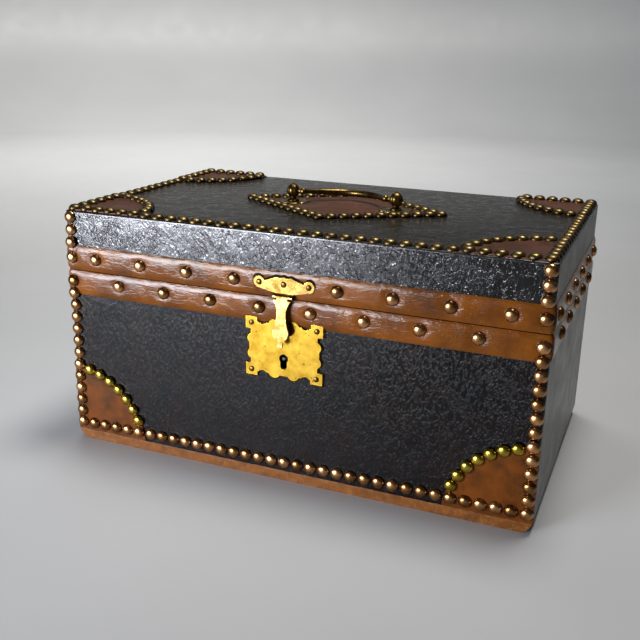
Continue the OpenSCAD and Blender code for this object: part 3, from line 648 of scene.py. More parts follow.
@dataclass(frozen=True)
class Plain:
    """A quiet stock such as planed pine, rag paper or bare iron: two tones in streaks or clouds."""

    name: str
    light: str
    dark: str
    streak_mm: float
    streak: tuple[float, float, float] = (1.0, 1.0, 1.0)
    streak_span: Span = (0.35, 0.68)
    # Fibres and pores, several times coarser than real ones, which are too fine to show
    fibre_mm: float = 0.4
    fibre_depth_mm: float = 0.03
    gloss_size: float = 6.0
    gloss_span: Span = (0.3, 0.7)
    rough: float = 0.6
    rough_play: float = 0.08
    metallic: float = 0.0

    def make(self) -> bpy.types.Material:
        """Builds the material.

        Returns:
            The finished material.
        """
        mix = Recipe(self.name)
        drawn = mix.add("Mapping", {"Vector": mix.place, "Scale": self.streak})
        streaks = mix.patches(self.streak_mm, 4.0, self.streak_span, where=drawn)
        colour = mix.add("Mix", {0: streaks, 6: linear(self.light), 7: linear(self.dark)}, **TINT)
        ends = (self.rough - self.rough_play, self.rough + self.rough_play)
        rough = mix.patches(self.fibre_mm * self.gloss_size, 3.0, self.gloss_span, ends)
        normal = mix.swells(self.fibre_mm, self.fibre_depth_mm, 3.0)
        return mix.close(colour, rough, normal, Metallic=self.metallic)


@dataclass(frozen=True)
class Laminate:
    """A pale matt table top, with clouds too faint to name."""

    light: str = "aeb0b2"
    dark: str = "a8aaac"
    cloud_mm: float = 400.0
    gloss_mm: float = 60.0
    rough: Span = (0.4, 0.46)
    span: Span = (0.3, 0.7)
    # The pressed texture, coarser than a real one, which is too fine to show
    grain_mm: float = 3.0
    grain_depth_mm: float = 0.002
    shine: float = 0.3

    def make(self) -> bpy.types.Material:
        """Builds the material.

        Returns:
            The finished material.
        """
        mix = Recipe("pale_laminate_table")
        cloud = mix.patches(self.cloud_mm, 2.0, self.span)
        colour = mix.add("Mix", {0: cloud, 6: linear(self.light), 7: linear(self.dark)}, **TINT)
        rough = mix.patches(self.gloss_mm, 2.0, self.span, self.rough)
        normal = mix.swells(self.grain_mm, self.grain_depth_mm, 2.0)
        return mix.close(colour, rough, normal, Specular_IOR_Level=self.shine)


class Finishes:
    """Every finish on the box, made once."""

    def __init__(self) -> None:
        """Makes the materials."""
        # Bridle hide dyed black, dried and crazed under old varnish: shining flakes, dull cracks
        self.lid_front = Leather(
            "crazed_varnished_hide", dye="040405", shade="010102", rub="0a0a0d", cloud_mm=45,
            grain_mm=1.2, grain_depth_mm=0.01, crease_mm=10, crease_depth_mm=0.12,
            rub_share=0.3, wrinkle_mm=3.4, wrinkle_depth_mm=0.03, crack_mm=2.6,
            crack_depth_mm=0.18, shine=0.75, rough=(0.12, 0.2),
        ).make()
        # The same hide lower down, finer and rubbed brown where hands held it
        self.base_front = Leather(
            "grained_varnished_hide", dye="050506", shade="0e0604", rub="0c0b0c", cloud_mm=26,
            grain_mm=1.0, grain_depth_mm=0.02, crease_mm=14, crease_depth_mm=0.3, rub_share=0.4,
            wrinkle_mm=2.6, wrinkle_depth_mm=0.1, shine=0.2, rough=(0.16, 0.26),
        ).make()
        # Smooth waxed hide: an even grey bloom over black
        self.smooth_black = Leather(
            "waxed_smooth_hide", dye="101111", shade="090a0a", rub="222424", cloud_mm=60,
            grain_mm=1.4, grain_depth_mm=0.012, crease_mm=30, crease_depth_mm=0.3,
            rub_share=0.25, shine=0.25, rough=(0.28, 0.38),
        ).make()
        # The lid's top: handled and creased, browner between the creases
        self.top_black = Leather(
            "creased_handled_hide", dye="0b0b0a", shade="150f0a", rub="2a2622", cloud_mm=26,
            grain_mm=1.6, grain_depth_mm=0.03, crease_mm=12, crease_depth_mm=0.6, rub_share=0.4,
            shine=0.5, rough=(0.24, 0.36),
        ).make()
        # Vegetable-tanned calf, glazed: reddish brown with darker pools
        self.band = Leather(
            "glazed_vegetable_tanned_calf", dye="5e3206", shade="3c1e06", rub="80541e",
            cloud_mm=34, grain_mm=0.8, grain_depth_mm=0.02, crease_mm=7, crease_depth_mm=0.2,
            rub_share=0.4, wrinkle_mm=6.0, wrinkle_way=(0.3, 0.3, 1.0), wrinkle_depth_mm=0.06,
            shine=0.2, rough=(0.15, 0.25),
        ).make()
        # The same calf, less handled: flatter orange brown
        self.patch = Leather(
            "vegetable_tanned_calf", dye="582c04", shade="301801", rub="66400e", cloud_mm=16,
            grain_mm=0.7, grain_depth_mm=0.03, crease_mm=9, crease_depth_mm=0.2, rub_share=0.3,
            shine=0.12, rough=(0.34, 0.46),
        ).make()
        # The same calf along the foot, scuffed pale where the box is set down
        self.foot = Leather(
            "scuffed_vegetable_tanned_calf", dye="6a3e16", shade="4e2a0c", rub="9c7446",
            cloud_mm=9, grain_mm=0.7, grain_depth_mm=0.04, crease_mm=6, crease_depth_mm=0.25,
            rub_share=0.6, shine=0.2, rough=(0.32, 0.44),
        ).make()
        # Top patches faded by dust and light: dull pinkish brown, the grey cast partly painted
        # reflection of the pale room
        self.faded_patch_with_painted_sheen = Leather(
            "faded_calf_with_painted_sheen", dye="503022", shade="382016", rub="6c5040",
            cloud_mm=25, grain_mm=0.7, grain_depth_mm=0.03, crease_mm=12, crease_depth_mm=0.2,
            rub_share=0.3, shine=0.2, rough=(0.36, 0.5),
        ).make()
        # Stamped brass nails aged towards copper
        self.row_nail = NailBrass(
            "aged_stamped_brass", bright="c89868", dull="9c6c40", patina_mm=5, dent_mm=3,
            dent_depth_mm=0.06, tone="74522e", rough=(0.2, 0.32),
        ).make()
        # Replaced nails: younger, yellower brass
        self.arc_nail = NailBrass(
            "yellow_stamped_brass", bright="b49a3c", dull="8a7428", patina_mm=5, dent_mm=3,
            dent_depth_mm=0.06, tone="9a8a30", rough=(0.16, 0.3),
        ).make()
        # Nails on the lid's top: browner, with an olive cast: partly age, partly painted shade on
        # the heads that face up
        self.top_nail_with_painted_shade = NailBrass(
            "dulled_brass_with_painted_top_shade", bright="847248", dull="54462a", patina_mm=4, dent_mm=2,
            dent_depth_mm=0.06, tone="5c4c30", rough=(0.3, 0.44),
        ).make()
        # Small pins of the plates, dark nearly to their tops: old polish, and painted shade of the
        # holes they sit in
        self.pin_nail_with_painted_shade = NailBrass(
            "brass_pin_with_polish_and_painted_shade", bright="86683a", dull="543c18", patina_mm=3, dent_mm=2,
            dent_depth_mm=0.04, tone="4a3414", dirt_and_shade_foot_share=0.9, rough=(0.24, 0.38),
        ).make()
        # Rolled brass sheet, hand polished: bright yellow with pits, dull in patches
        self.plate = Brass(
            "polished_rolled_brass", bright="c8a43c", dull="a07a22", patina_mm=9, dent_mm=7,
            dent_depth_mm=0.16, pit="2a1a06", rough=(0.16, 0.26),
        ).make()
        # Rolled brass worn pale by thumbs
        self.tongue = Brass(
            "handled_rolled_brass", bright="8c7040", dull="5a441e", patina_mm=5, dent_mm=4,
            dent_depth_mm=0.12, pit="2a1a06", pit_mm=2.4, rough=(0.28, 0.4),
        ).make()
        # The same sheet higher up, golden brown where fingers seldom reach
        self.sheet = Brass(
            "brown_gold_rolled_brass", bright="b08e4c", dull="705424", patina_mm=5, dent_mm=4,
            dent_depth_mm=0.1, pit="2a1a06", pit_mm=2.6, rough=(0.2, 0.3),
        ).make()
        # Old polish gone black round the sheets, with painted shadow: a dark line round their
        # outline on the leather
        self.polish_and_painted_shadow = Brass(
            "tarnish_polish_and_painted_shadow", bright="1c1409", dull="0c0804", patina_mm=2, dent_mm=1.5,
            dent_depth_mm=0.08, rough=(0.44, 0.6),
        ).make()
        # Cast brass gone brown, bright only where it is touched
        self.antique = Brass(
            "antique_cast_brass", bright="705a30", dull="382a14", patina_mm=4, dent_mm=3,
            dent_depth_mm=0.1, rough=(0.26, 0.4),
        ).make()
        # The same brass stamped thin, dulled to olive brown
        self.rosette = Brass(
            "stamped_brass_gone_brown", bright="8c763a", dull="463616", patina_mm=3, dent_mm=2,
            dent_depth_mm=0.16, rough=(0.24, 0.38),
        ).make()
        # Pressed brass butt hinges, dulled
        self.hinge = Brass(
            "pressed_brass", bright="a58442", dull="6e5424", patina_mm=7, dent_mm=5,
            dent_depth_mm=0.06, rough=(0.26, 0.42),
        ).make()
        # Bare malleable iron, dark and dry
        self.iron = Plain(
            "bare_malleable_iron", light="4a4744", dark="2e2a28", streak_mm=4, rough=0.5,
            metallic=1.0,
        ).make()
        # Planed pine with its grain along the box
        self.pine = Plain(
            "planed_pine", light="c59a68", dark="a77a48", streak=(0.08, 1.0, 1.0), streak_mm=4,
            fibre_mm=0.5, fibre_depth_mm=0.04, rough=0.55,
        ).make()
        # Rag paper lining, slightly foxed
        self.paper = Plain(
            "rag_paper", light="cdbf9f", dark="b9a67f", streak_mm=25, fibre_mm=0.6,
            fibre_depth_mm=0.04, rough=0.8,
        ).make()


# ---- Nails ----


@dataclass
class Nail:
    """One nail head as the CAD model has it."""

    seat: Vector
    out: Vector
    width: float
    height: float


def nails_of(node: str) -> list[Nail]:
    """Finds every nail head in a CAD node of nails.

    Args:
        node: The node's name.

    Returns:
        The heads, in a fixed order.
    """
    mesh = frame["nodes"][node].data
    leader: dict[tuple[int, int, int], tuple[int, int, int]] = {}

    def find(key: tuple[int, int, int]) -> tuple[int, int, int]:
        """Follows a point to the first point of its head.

        Args:
            key: The point, on a fine grid.

        Returns:
            The first point.
        """
        while leader.setdefault(key, key) != key:
            leader[key] = leader[leader[key]]
            key = leader[key]
        return key

    grid = [tuple(round(c / FINE) for c in vertex.co) for vertex in mesh.vertices]
    for face in mesh.polygons:
        first = find(grid[face.vertices[0]])
        for index in face.vertices[1:]:
            leader[find(grid[index])] = first
    heads: dict[tuple[int, int, int], list[Vector]] = {}
    for index, key in enumerate(grid):
        heads.setdefault(find(key), []).append(mesh.vertices[index].co)
    found = []
    for points in heads.values():
        low = Vector([min(p[i] for p in points) for i in range(3)])
        high = Vector([max(p[i] for p in points) for i in range(3)])
        size = high - low
        axis = min(range(3), key=lambda i: size[i])
        middle = (low + high) / 2
        side = 1 if axis == 2 or middle[axis] > 0 else -1
        out = Vector([side if i == axis else 0 for i in range(3)])
        found.append(Nail(middle - out * size[axis] / 2, out, max(size), size[axis]))
    return sorted(found, key=lambda nail: tuple(round(c, 5) for c in nail.seat))


@dataclass
class NailRows:
    """All the domed nail heads, modelled once and copied to each place."""

    finishes: Finishes
    rim_sides: int = 14
    skirt_mm: float = 0.5
    tall_mm: float = 3.2
    sunk_share: float = 0.015
    lean_degrees: float = 2.5
    tone_power: float = 1.6
    least_top_shade_tone: float = 0.6
    top_slack_mm: float = 0.2
    dome: tuple[Span, ...] = ((0.99, 0.16), (0.91, 0.48), (0.7, 0.78), (0.38, 0.945))

    def head(self) -> Piece:
        """Models one head of radius 1 and height 1, with its crown and tone attributes.

        Returns:
            The head, whose skirt reaches below its seat.
        """
        nail = start(
            Stock.CIRCLE, "nail_head", vertices=self.rim_sides, radius=1, fill_type="NGON"
        )
        skirt = self.skirt_mm / self.tall_mm
        moves = [pull(0, 0, skirt)]
        width = 1.0
        height = 0.0
        for wide, high in self.dome:
            moves += [pull(0, 0, high - height), widen(wide / width)]
            width = wide
            height = high
        moves += [pull(0, 0, 1 - height), partial(bpy.ops.mesh.merge, type="CENTER")]
        pick(nail, Part.FACES, lambda place, way: True)
        edit(nail, *moves)
        move_points(nail, lambda place: place - Vector((0, 0, skirt)))
        right_way_out(nail)
        crown = nail.data.attributes.new("crown", "FLOAT", "POINT")
        crown.data.foreach_set("value", [vertex.co.z for vertex in nail.data.vertices])
        nail.data.attributes.new("tone", "FLOAT", "POINT")
        return nail

    def copy_to(self, head: Piece, nail: Nail, chance: random.Random, name: str) -> Piece:
        """Copies the head to one nail's place, a little tilted and with its own tone, darker facing
        up: painted shade.

        Args:
            head: The modelled head.
            nail: Where it goes.
            chance: The seeded source of tilt and tone.
            name: The copy's name.

        Returns:
            The placed copy.
        """
        copy = copy_of(head, name)
        turn = nail.out.to_track_quat("Z", "Y").to_matrix().to_4x4()
        most = self.lean_degrees
        lean = Matrix.Rotation(math.radians(chance.uniform(-1, 1) * most), 4, "X")
        lean = lean @ Matrix.Rotation(math.radians(chance.uniform(-1, 1) * most), 4, "Y")
        lean = lean @ Matrix.Rotation(chance.uniform(0, math.tau), 4, "Z")
        radius = nail.width / 2
        size = Matrix.Diagonal((radius, radius, nail.height * (1 - self.sunk_share), 1))
        copy.data.transform(Matrix.Translation(nail.seat) @ turn @ lean @ size)
        tone = chance.random() ** self.tone_power
        # Heads that face up take more of the dark tone: painted shade
        if nail.out.z > FACING:
            tone = self.least_top_shade_tone + (1 - self.least_top_shade_tone) * tone
        tones = [tone] * len(copy.data.vertices)
        copy.data.attributes["tone"].data.foreach_set("value", tones)
        return copy

    def build(self) -> None:
        """Builds every row."""
        head = self.head()
        done = self.finishes
        for node, finish in (
            ("base_edge_studs", done.row_nail),
            ("base_band_studs", done.row_nail),
            ("lid_edge_studs", done.row_nail),
            ("lid_band_studs", done.row_nail),
            ("base_patch_studs", done.arc_nail),
            # Nails on the lid's top take the darker finish: partly age, partly painted shade
            ("lid_patch_studs", done.top_nail_with_painted_shade),
            ("lid_diamond_studs", done.top_nail_with_painted_shade),
            # The plates' pins are mostly dark: old polish and painted shade of their holes
            ("lock_plate_pins", done.pin_nail_with_painted_shade),
            ("hasp_plate_pins", done.pin_nail_with_painted_shade),
        ):
            chance = random.Random(node)
            nails = enumerate(nails_of(node))
            copies = [self.copy_to(head, nail, chance, f"{node}_{i}") for i, nail in nails]
            row = join(copies, f"{node}_domed")
            smooth(row, degrees=50)
            dress(row, finish)
            # Faces above the lid's top take the darker top finish: painted shade on the heads that
            # face up
            if node == "lid_edge_studs":
                row.data.materials.append(done.top_nail_with_painted_shade)
                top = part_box("lid_top_leather")[1].z - self.top_slack_mm * MM
                for face in row.data.polygons:
                    face.material_index = int(face.center.z > top)
            stand_for(row, node)
        bpy.data.objects.remove(head)


# ---- Leather ----


@dataclass
class RimBand:
    """A tan band round the parting line: padded, rolled at its edges and dimpled by its nails."""

    node: str
    fold_up: int
    nail_nodes: tuple[str, ...]
    under: str
    finishes: Finishes
    thick_mm: float = 1.0
    board_mm: float = 10.0
    corner_mm: float = 3.5
    corner_steps: int = 5
    step_mm: float = 2.6
    levels: int = 8
    bulge_mm: float = 0.5
    roll_mm: float = 0.75
    flat_share: float = 0.84
    dimple_mm: float = 0.3
    dimple_reach_mm: float = 3.4
    nail_rim_share: float = 0.42
    nail_near_mm: float = 12.0
    sag_mm: float = 0.1
    sag_size_mm: float = 14.0
    nail_facing: float = 0.7
    under_plate_mm: float = -0.1
    plate_near_mm: float = 1.0
    slack_mm: float = 0.4
    hem_mm: float = 0.1
    wall_mm: float = 0.3
    low: Vector = field(init=False)
    high: Vector = field(init=False)
    plate: tuple[Vector, Vector] = field(init=False)
    nails: list[Nail] = field(init=False)

    def shell(self) -> Piece:
        """Models the band's plain folded shape from a cube.

        Returns:
            The band, rounded at its corners.
        """
        size = self.high - self.low
        middle = (self.low + self.high) / 2
        band = start(Stock.CUBE, f"{self.node}_padded", size=1, location=middle, scale=size)
        up = self.fold_up
        thick = self.thick_mm * MM
        board = self.board_mm * MM
        pick(band, Part.FACES, lambda place, way: way.z * up > FACING)
        edit(
            band,
            partial(bpy.ops.mesh.inset, thickness=thick),
            pull(0, 0, -up * (size.z - thick)),
            partial(bpy.ops.mesh.inset, thickness=board),
            partial(bpy.ops.mesh.delete, type="FACE"),
        )
        pick(band, Part.FACES, lambda place, way: way.z * up < -FACING)
        edit(
            band,
            partial(bpy.ops.mesh.inset, thickness=thick + board),
            partial(bpy.ops.mesh.delete, type="FACE"),
        )
        inner = self.high - Vector((1, 1, 0)) * (thick + board - self.hem_mm * MM)
        pick(
            band,
            Part.EDGES,
            lambda place, way: abs(place.x) < inner.x and abs(place.y) < inner.y,
        )
        edit(band, bpy.ops.mesh.bridge_edge_loops)
        right_way_out(band)
        outer = size.z - 0.5 * thick
        pocket = size.z - 1.5 * thick
        corner = self.corner_mm * MM
        for reach, test in (
            (corner, lambda place, way: abs(way.z) > outer),
            (corner - thick, lambda place, way: pocket < abs(way.z) < outer),
        ):
            pick(band, Part.EDGES, test)
            edit(
                band,
                partial(
                    bpy.ops.mesh.bevel, offset=reach, segments=self.corner_steps, affect="EDGES"
                ),
            )
        return band

    def cuts(self) -> list[tuple[Vector, Vector]]:
        """Plans the cuts that give the band enough points to shape.

        Returns:
            Each plane's point and normal.
        """
        planes = []
        for axis, count in ((2, self.levels), (0, 0), (1, 0)):
            low = self.low[axis]
            high = self.high[axis]
            steps = count or round((high - low) / (self.step_mm * MM))
            normal = Vector([1 if i == axis else 0 for i in range(3)])
            planes += [
                (normal * (low + (high - low) * i / steps), normal) for i in range(1, steps)
            ]
        return planes

    def way_out(self, place: Vector) -> Vector | None:
        """Finds which way the band's outer wall faces.

        Args:
            place: A point of the band.

        Returns:
            The direction, or None where the point isn't on the outer wall.
        """
        corner = self.corner_mm * MM
        wall = self.high - Vector((1, 1, 0)) * self.wall_mm * MM
        out = Vector(
            (
                max(abs(place.x) - (self.high.x - corner), 0),
                max(abs(place.y) - (self.high.y - corner), 0),
                0,
            )
        )
        if out.length < corner - self.slack_mm * MM:
            return None
        if not (abs(place.x) > wall.x or abs(place.y) > wall.y or (out.x > 0 and out.y > 0)):
            return None
        way = Vector((math.copysign(out.x, place.x), math.copysign(out.y, place.y), 0))
        return way.normalized()

    def push_at(self, place: Vector, way: Vector) -> float:
        """Works out how far the padding, the rolled edges and the nails move a point.

        Args:
            place: A point of the outer wall.
            way: The direction that the wall faces there.

        Returns:
            The move along that direction, in mm.
        """
        middle = (self.low.z + self.high.z) / 2
        level = (place.z - middle) / ((self.high.z - self.low.z) / 2)
        bulge = self.bulge_mm * (1 - level**2)
        rolled = max(0, abs(level) - self.flat_share) / (1 - self.flat_share)
        push = bulge - self.roll_mm * rolled
        push += self.sag_mm * noise.noise(place / (self.sag_size_mm * MM))
        for nail in self.nails:
            facing = nail.out.dot(way) > self.nail_facing
            if abs(nail.seat.z - place.z) < self.nail_near_mm * MM and facing:
                arm = place - nail.seat
                gap = (arm - nail.out * arm.dot(nail.out)).length
                rim = gap - nail.width * self.nail_rim_share
                share = 1 - max(0.0, rim) / (self.dimple_reach_mm * MM)
                if share > 0:
                    push -= (self.dimple_mm + bulge) * share**2
        low, high = self.plate
        top = high.z + self.plate_near_mm * MM
        if place.y < 0 and low.x < place.x < high.x and place.z < top:
            push = min(push, self.under_plate_mm)
        return max(push, -self.roll_mm)

    def pad(self, place: Vector) -> Vector:
        """Pads a point of the outer wall and leaves the others.

        Args:
            place: A point of the band.

        Returns:
            Where it goes.
        """
        way = self.way_out(place)
        return place + way * self.push_at(place, way) * MM if way else place

    def build(self) -> None:
        """Builds, shapes and dresses the band."""
        self.low, self.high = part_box(self.node)
        self.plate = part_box(self.under)
        self.nails = [nail for node in self.nail_nodes for nail in nails_of(node)]
        band = self.shell()
        bisect_all(band, self.cuts())
        move_points(band, self.pad)
        smooth(band, degrees=40)
        dress(band, self.finishes.band)
        stand_for(band, self.node)


@dataclass
class Fitting:
    """A CAD node's shape taken up as a worked piece: merged, its edges eased, then dressed."""

    node: str
    material: bpy.types.Material
    ease_mm: float = 0.0
    steps: int = 2
    crease_degrees: float = 30.0
    flat_degrees: float = 0.5

    def piece(self) -> Piece:
        """Copies the node, eases its edges and dresses it.

        Returns:
            The worked piece.
        """
        copy = copy_of(frame["nodes"][self.node], f"{self.node}_worked")
        for key in ("custom_normal", "sharp_edge", "sharp_face"):
            attribute = copy.data.attributes.get(key)
            if attribute is not None:
                copy.data.attributes.remove(attribute)
        edit(
            copy,
            partial(bpy.ops.mesh.select_all, action="SELECT"),
            partial(bpy.ops.mesh.remove_doubles, threshold=FINE),
            partial(bpy.ops.mesh.dissolve_limited, angle_limit=math.radians(self.flat_degrees)),
        )
        if self.ease_mm:
            apply_modifier(
                copy,
                "BEVEL",
                width=self.ease_mm * MM,
                segments=self.steps,
                limit_method="ANGLE",
                angle_limit=math.radians(self.crease_degrees),
                harden_normals=False,
            )
        smooth(copy, self.crease_degrees)
        if self.ease_mm:
            apply_modifier(copy, "WEIGHTED_NORMAL", keep_sharp=True, weight=80)
        return dress(copy, self.material)

    def build(self) -> None:
        """Puts the worked piece in the node's place."""
        stand_for(self.piece(), self.node)


@dataclass
class OutlinedSheet(Fitting):
    """A scalloped brass sheet, outlined on the leather by a dark line of old polish and painted
    shadow.
    """

    ease_mm: float = 0.5
    polish_and_shadow_finish: bpy.types.Material | None = None
    polish_and_shadow_mm: float = 0.9
    polish_and_shadow_thick_share: float = 0.5
    still_share: float = 0.5

    def build(self) -> None:
        """Joins the sheet and its dark line of polish and painted shadow, and puts them in the
        node's place.
        """
        sheet = self.piece()
        stand_for(join([sheet, self.polish_and_shadow_line(sheet)], sheet.name), self.node)

    def polish_and_shadow_line(self, sheet: Piece) -> Piece:
        """Copies the sheet a little wider and thinner behind it, as a dark line of polish and
        painted shadow.

        Args:
            sheet: The worked sheet.

        Returns:
            The line of polish and painted shadow.
        """
        low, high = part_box(self.node)
        still = low + (high - low) * self.still_share
        grow = [1 + 2 * self.polish_and_shadow_mm * MM / (high - low)[axis] for axis in (0, 2)]
        line = copy_of(sheet, f"{self.node}_polish_and_shadow_line")

        def spread(place: Vector) -> Vector:
            """Widens the copy and presses it back to the leather.

            Args:
                place: A point of the copy.

            Returns:
                Where it goes.
            """
            back = high.y + (place.y - high.y) * self.polish_and_shadow_thick_share
            return Vector((place.x * grow[0], back, still.z + (place.z - still.z) * grow[1]))

        move_points(line, spread)
        return dress(line, self.polish_and_shadow_finish)


# ---- Handle ----


class Side(Enum):
    """The two ends of the bail."""

    LEFT = "left"
    RIGHT = "right"


@dataclass
class HandlePost:
    """A turned post with a gadrooned ball, on a scalloped rosette."""

    side: Side
    finishes: Finishes
    turns: int = 48
    shank_mm: float = 1.8
    collar_mm: float = 2.9
    collar_share: float = 0.9
    tip_mm: float = 0.8
    ball_steps: int = 12
    ball_grow: float = 1.02
    ball_foot_share: float = 0.82
    gadroons: int = 8
    gadroon_depth: float = 0.085
    gadroon_end_share: float = 0.97
    gadroon_fade_share: float = 0.98
    gadroon_fade_power: int = 4
    petals: int = 96
    lobes: int = 8
    lobe_depth: float = 0.16
    lobe_rim_power: int = 3
    lobe_point_power: float = 1.3
    # How far out and how high above the rosette the neck's points are, in mm
    neck_mm: tuple[Span, ...] = (
        (4.6, 0.0), (4.6, 0.5), (4.1, 0.9), (3.0, 1.4), (2.3, 2.2), (2.2, 2.7),
    )
    # How far out, in mm, and at what share of the ball's radius the finial's points are
    finial: tuple[Span, ...] = ((1.2, 0.985), (1.35, 1.06))
    # Each ring's width as a share of the rosette's, and its rise as a share of its thickness
    rings: tuple[Span, ...] = (
        (1.0, 0.55), (0.95, 0.45), (0.86, -0.3), (0.6, 0.0), (0.52, 0.28), (0.4, 0.0), (0.34, 0.02),
    )

    def profile(self, node: str, middle: float, wide: float) -> list[Span]:
        """Draws the post's half outline from its foot to its tip.

        Args:
            node: The post's CAD node.
            middle: The height of the ball's middle.
            wide: The ball's radius.

        Returns:
            How far out and how high each point is.
        """
        low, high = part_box(node)
        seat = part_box(f"handle_{self.side.value}_rosette")[1].z
        shank = self.shank_mm * MM
        points = [(0.0, low.z), (shank, low.z), (shank, seat)]
        points += [(out * MM, seat + up * MM) for out, up in self.neck_mm]
        points.append((self.collar_mm * MM, middle - wide * self.collar_share))
        for i in range(1, self.ball_steps):
            angle = math.pi * i / self.ball_steps - math.pi / 2
            if math.sin(angle) > -self.ball_foot_share:
                points.append((wide * math.cos(angle), middle + wide * math.sin(angle)))
        points += [(out * MM, middle + wide * up) for out, up in self.finial]
        return points + [(self.tip_mm * MM, high.z), (0.0, high.z)]

    def post(self) -> None:
        """Turns the post and works the gadroons into its ball."""
        node = f"handle_{self.side.value}_post"
        low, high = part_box(node)
        centre = Vector(((low.x + high.x) / 2, 0, 0))
        middle = (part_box("bail_ends")[0].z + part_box("bail_ends")[1].z) / 2
        wide = (high.x - low.x) / 2 * self.ball_grow
        points = self.profile(node, middle, wide)
        first = Vector((centre.x + points[0][0], 0, points[0][1]))
        post = start(Stock.PLANE, f"{node}_gadrooned", size=MM, location=first)
        moves: list[Move] = [partial(bpy.ops.mesh.merge, type="CENTER")]
        moves += [pull(b[0] - a[0], 0, b[1] - a[1]) for a, b in zip(points, points[1:])]
        moves += [
            partial(bpy.ops.mesh.select_all, action="SELECT"),
            partial(
                bpy.ops.mesh.spin,
                steps=self.turns,
                angle=math.tau,
                center=centre,
                axis=(0, 0, 1),
            ),
        ]
        pick(post, Part.VERTS, lambda place, way: True)
        edit(post, *moves)
        right_way_out(post)

        def gadroon(place: Vector) -> Vector:
            """Hollows the ball between its gadroons.

            Args:
                place: A point of the post.

            Returns:
                Where it goes.
            """
            arm = place - Vector((centre.x, 0, middle))
            if abs(arm.z) > wide * self.gadroon_end_share:
                return place
            around = math.atan2(arm.y, arm.x)
            up = arm.z / (wide * self.gadroon_fade_share)
            share = max(0.0, 1 - up**self.gadroon_fade_power)
            hollow = 1 - abs(math.cos(around * self.gadroons / 2))
            keep = 1 - self.gadroon_depth * hollow * share
            return Vector((centre.x + arm.x * keep, arm.y * keep, place.z))

        move_points(post, gadroon)
        smooth(post, degrees=50)
        dress(post, self.finishes.antique)
        stand_for(post, node)

    def rosette(self) -> None:
        """Models the scalloped rosette, raised in a ring round the post."""
        node = f"handle_{self.side.value}_rosette"
        low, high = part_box(node)
        centre = (low + high) / 2
        reach = (high.x - low.x) / 2
        flower = start(
            Stock.CIRCLE,
            f"{node}_scalloped",
            vertices=self.petals,
            radius=reach,
            fill_type="NGON",
            location=(centre.x, centre.y, low.z),
        )
        moves: list[Move] = []
        width = 1.0
        for wide, rise in self.rings:
            size = (wide / width, wide / width, 1)
            moves += [
                pull(0, 0, rise * (high.z - low.z)),
                partial(bpy.ops.transform.resize, value=size, center_override=centre),
            ]
            width = wide
        pick(flower, Part.FACES, lambda place, way: True)
        edit(flower, *moves)
        right_way_out(flower)

        def scallop(place: Vector) -> Vector:
            """Draws the rim in between its lobes.

            Args:
                place: A point of the rosette.

            Returns:
                Where it goes.
            """
            arm = Vector((place.x - centre.x, place.y - centre.y, 0))
            share = min(1.0, arm.length / reach) ** self.lobe_rim_power
            around = math.atan2(arm.y, arm.x)
            lobe = abs(math.cos((around + math.pi / self.lobes) * self.lobes / 2))
            keep = 1 - self.lobe_depth * share * (1 - lobe) ** self.lobe_point_power
            return Vector((centre.x + arm.x * keep, centre.y + arm.y * keep, place.z))

        move_points(flower, scallop)
        smooth(flower, degrees=40)
        dress(flower, self.finishes.rosette)
        stand_for(flower, node)

    def build(self) -> None:
        """Builds the post and its rosette."""
        self.post()
        self.rosette()


# ---- The room ----


@dataclass(frozen=True)
class Lamp:
    """One soft area lamp, its places and sizes in metres and its power in watts."""

    name: str
    place: tuple[float, float, float]
    aim: tuple[float, float, float]
    wide: float
    power: float
    tint: str
    spread_degrees: float
    tall: float = 0.0

    def light(self) -> None:
        """Hangs the lamp and turns it to its aim: a panel where it has a height, else a disc."""
        data = bpy.data.lights.new(self.name, "AREA")
        data.shape = "RECTANGLE" if self.tall else "DISK"
        data.size = self.wide
        if self.tall:
            data.size_y = self.tall
        data.energy = self.power
        data.spread = math.radians(self.spread_degrees)
        data.color = linear(self.tint)[:3]
        lamp = bpy.data.objects.new(self.name, data)
        bpy.context.scene.collection.objects.link(lamp)
        lamp.location = self.place
        lamp.rotation_mode = "QUATERNION"
        ahead = Vector(self.aim) - Vector(self.place)
        lamp.rotation_quaternion = ahead.to_track_quat("-Z", "Y")


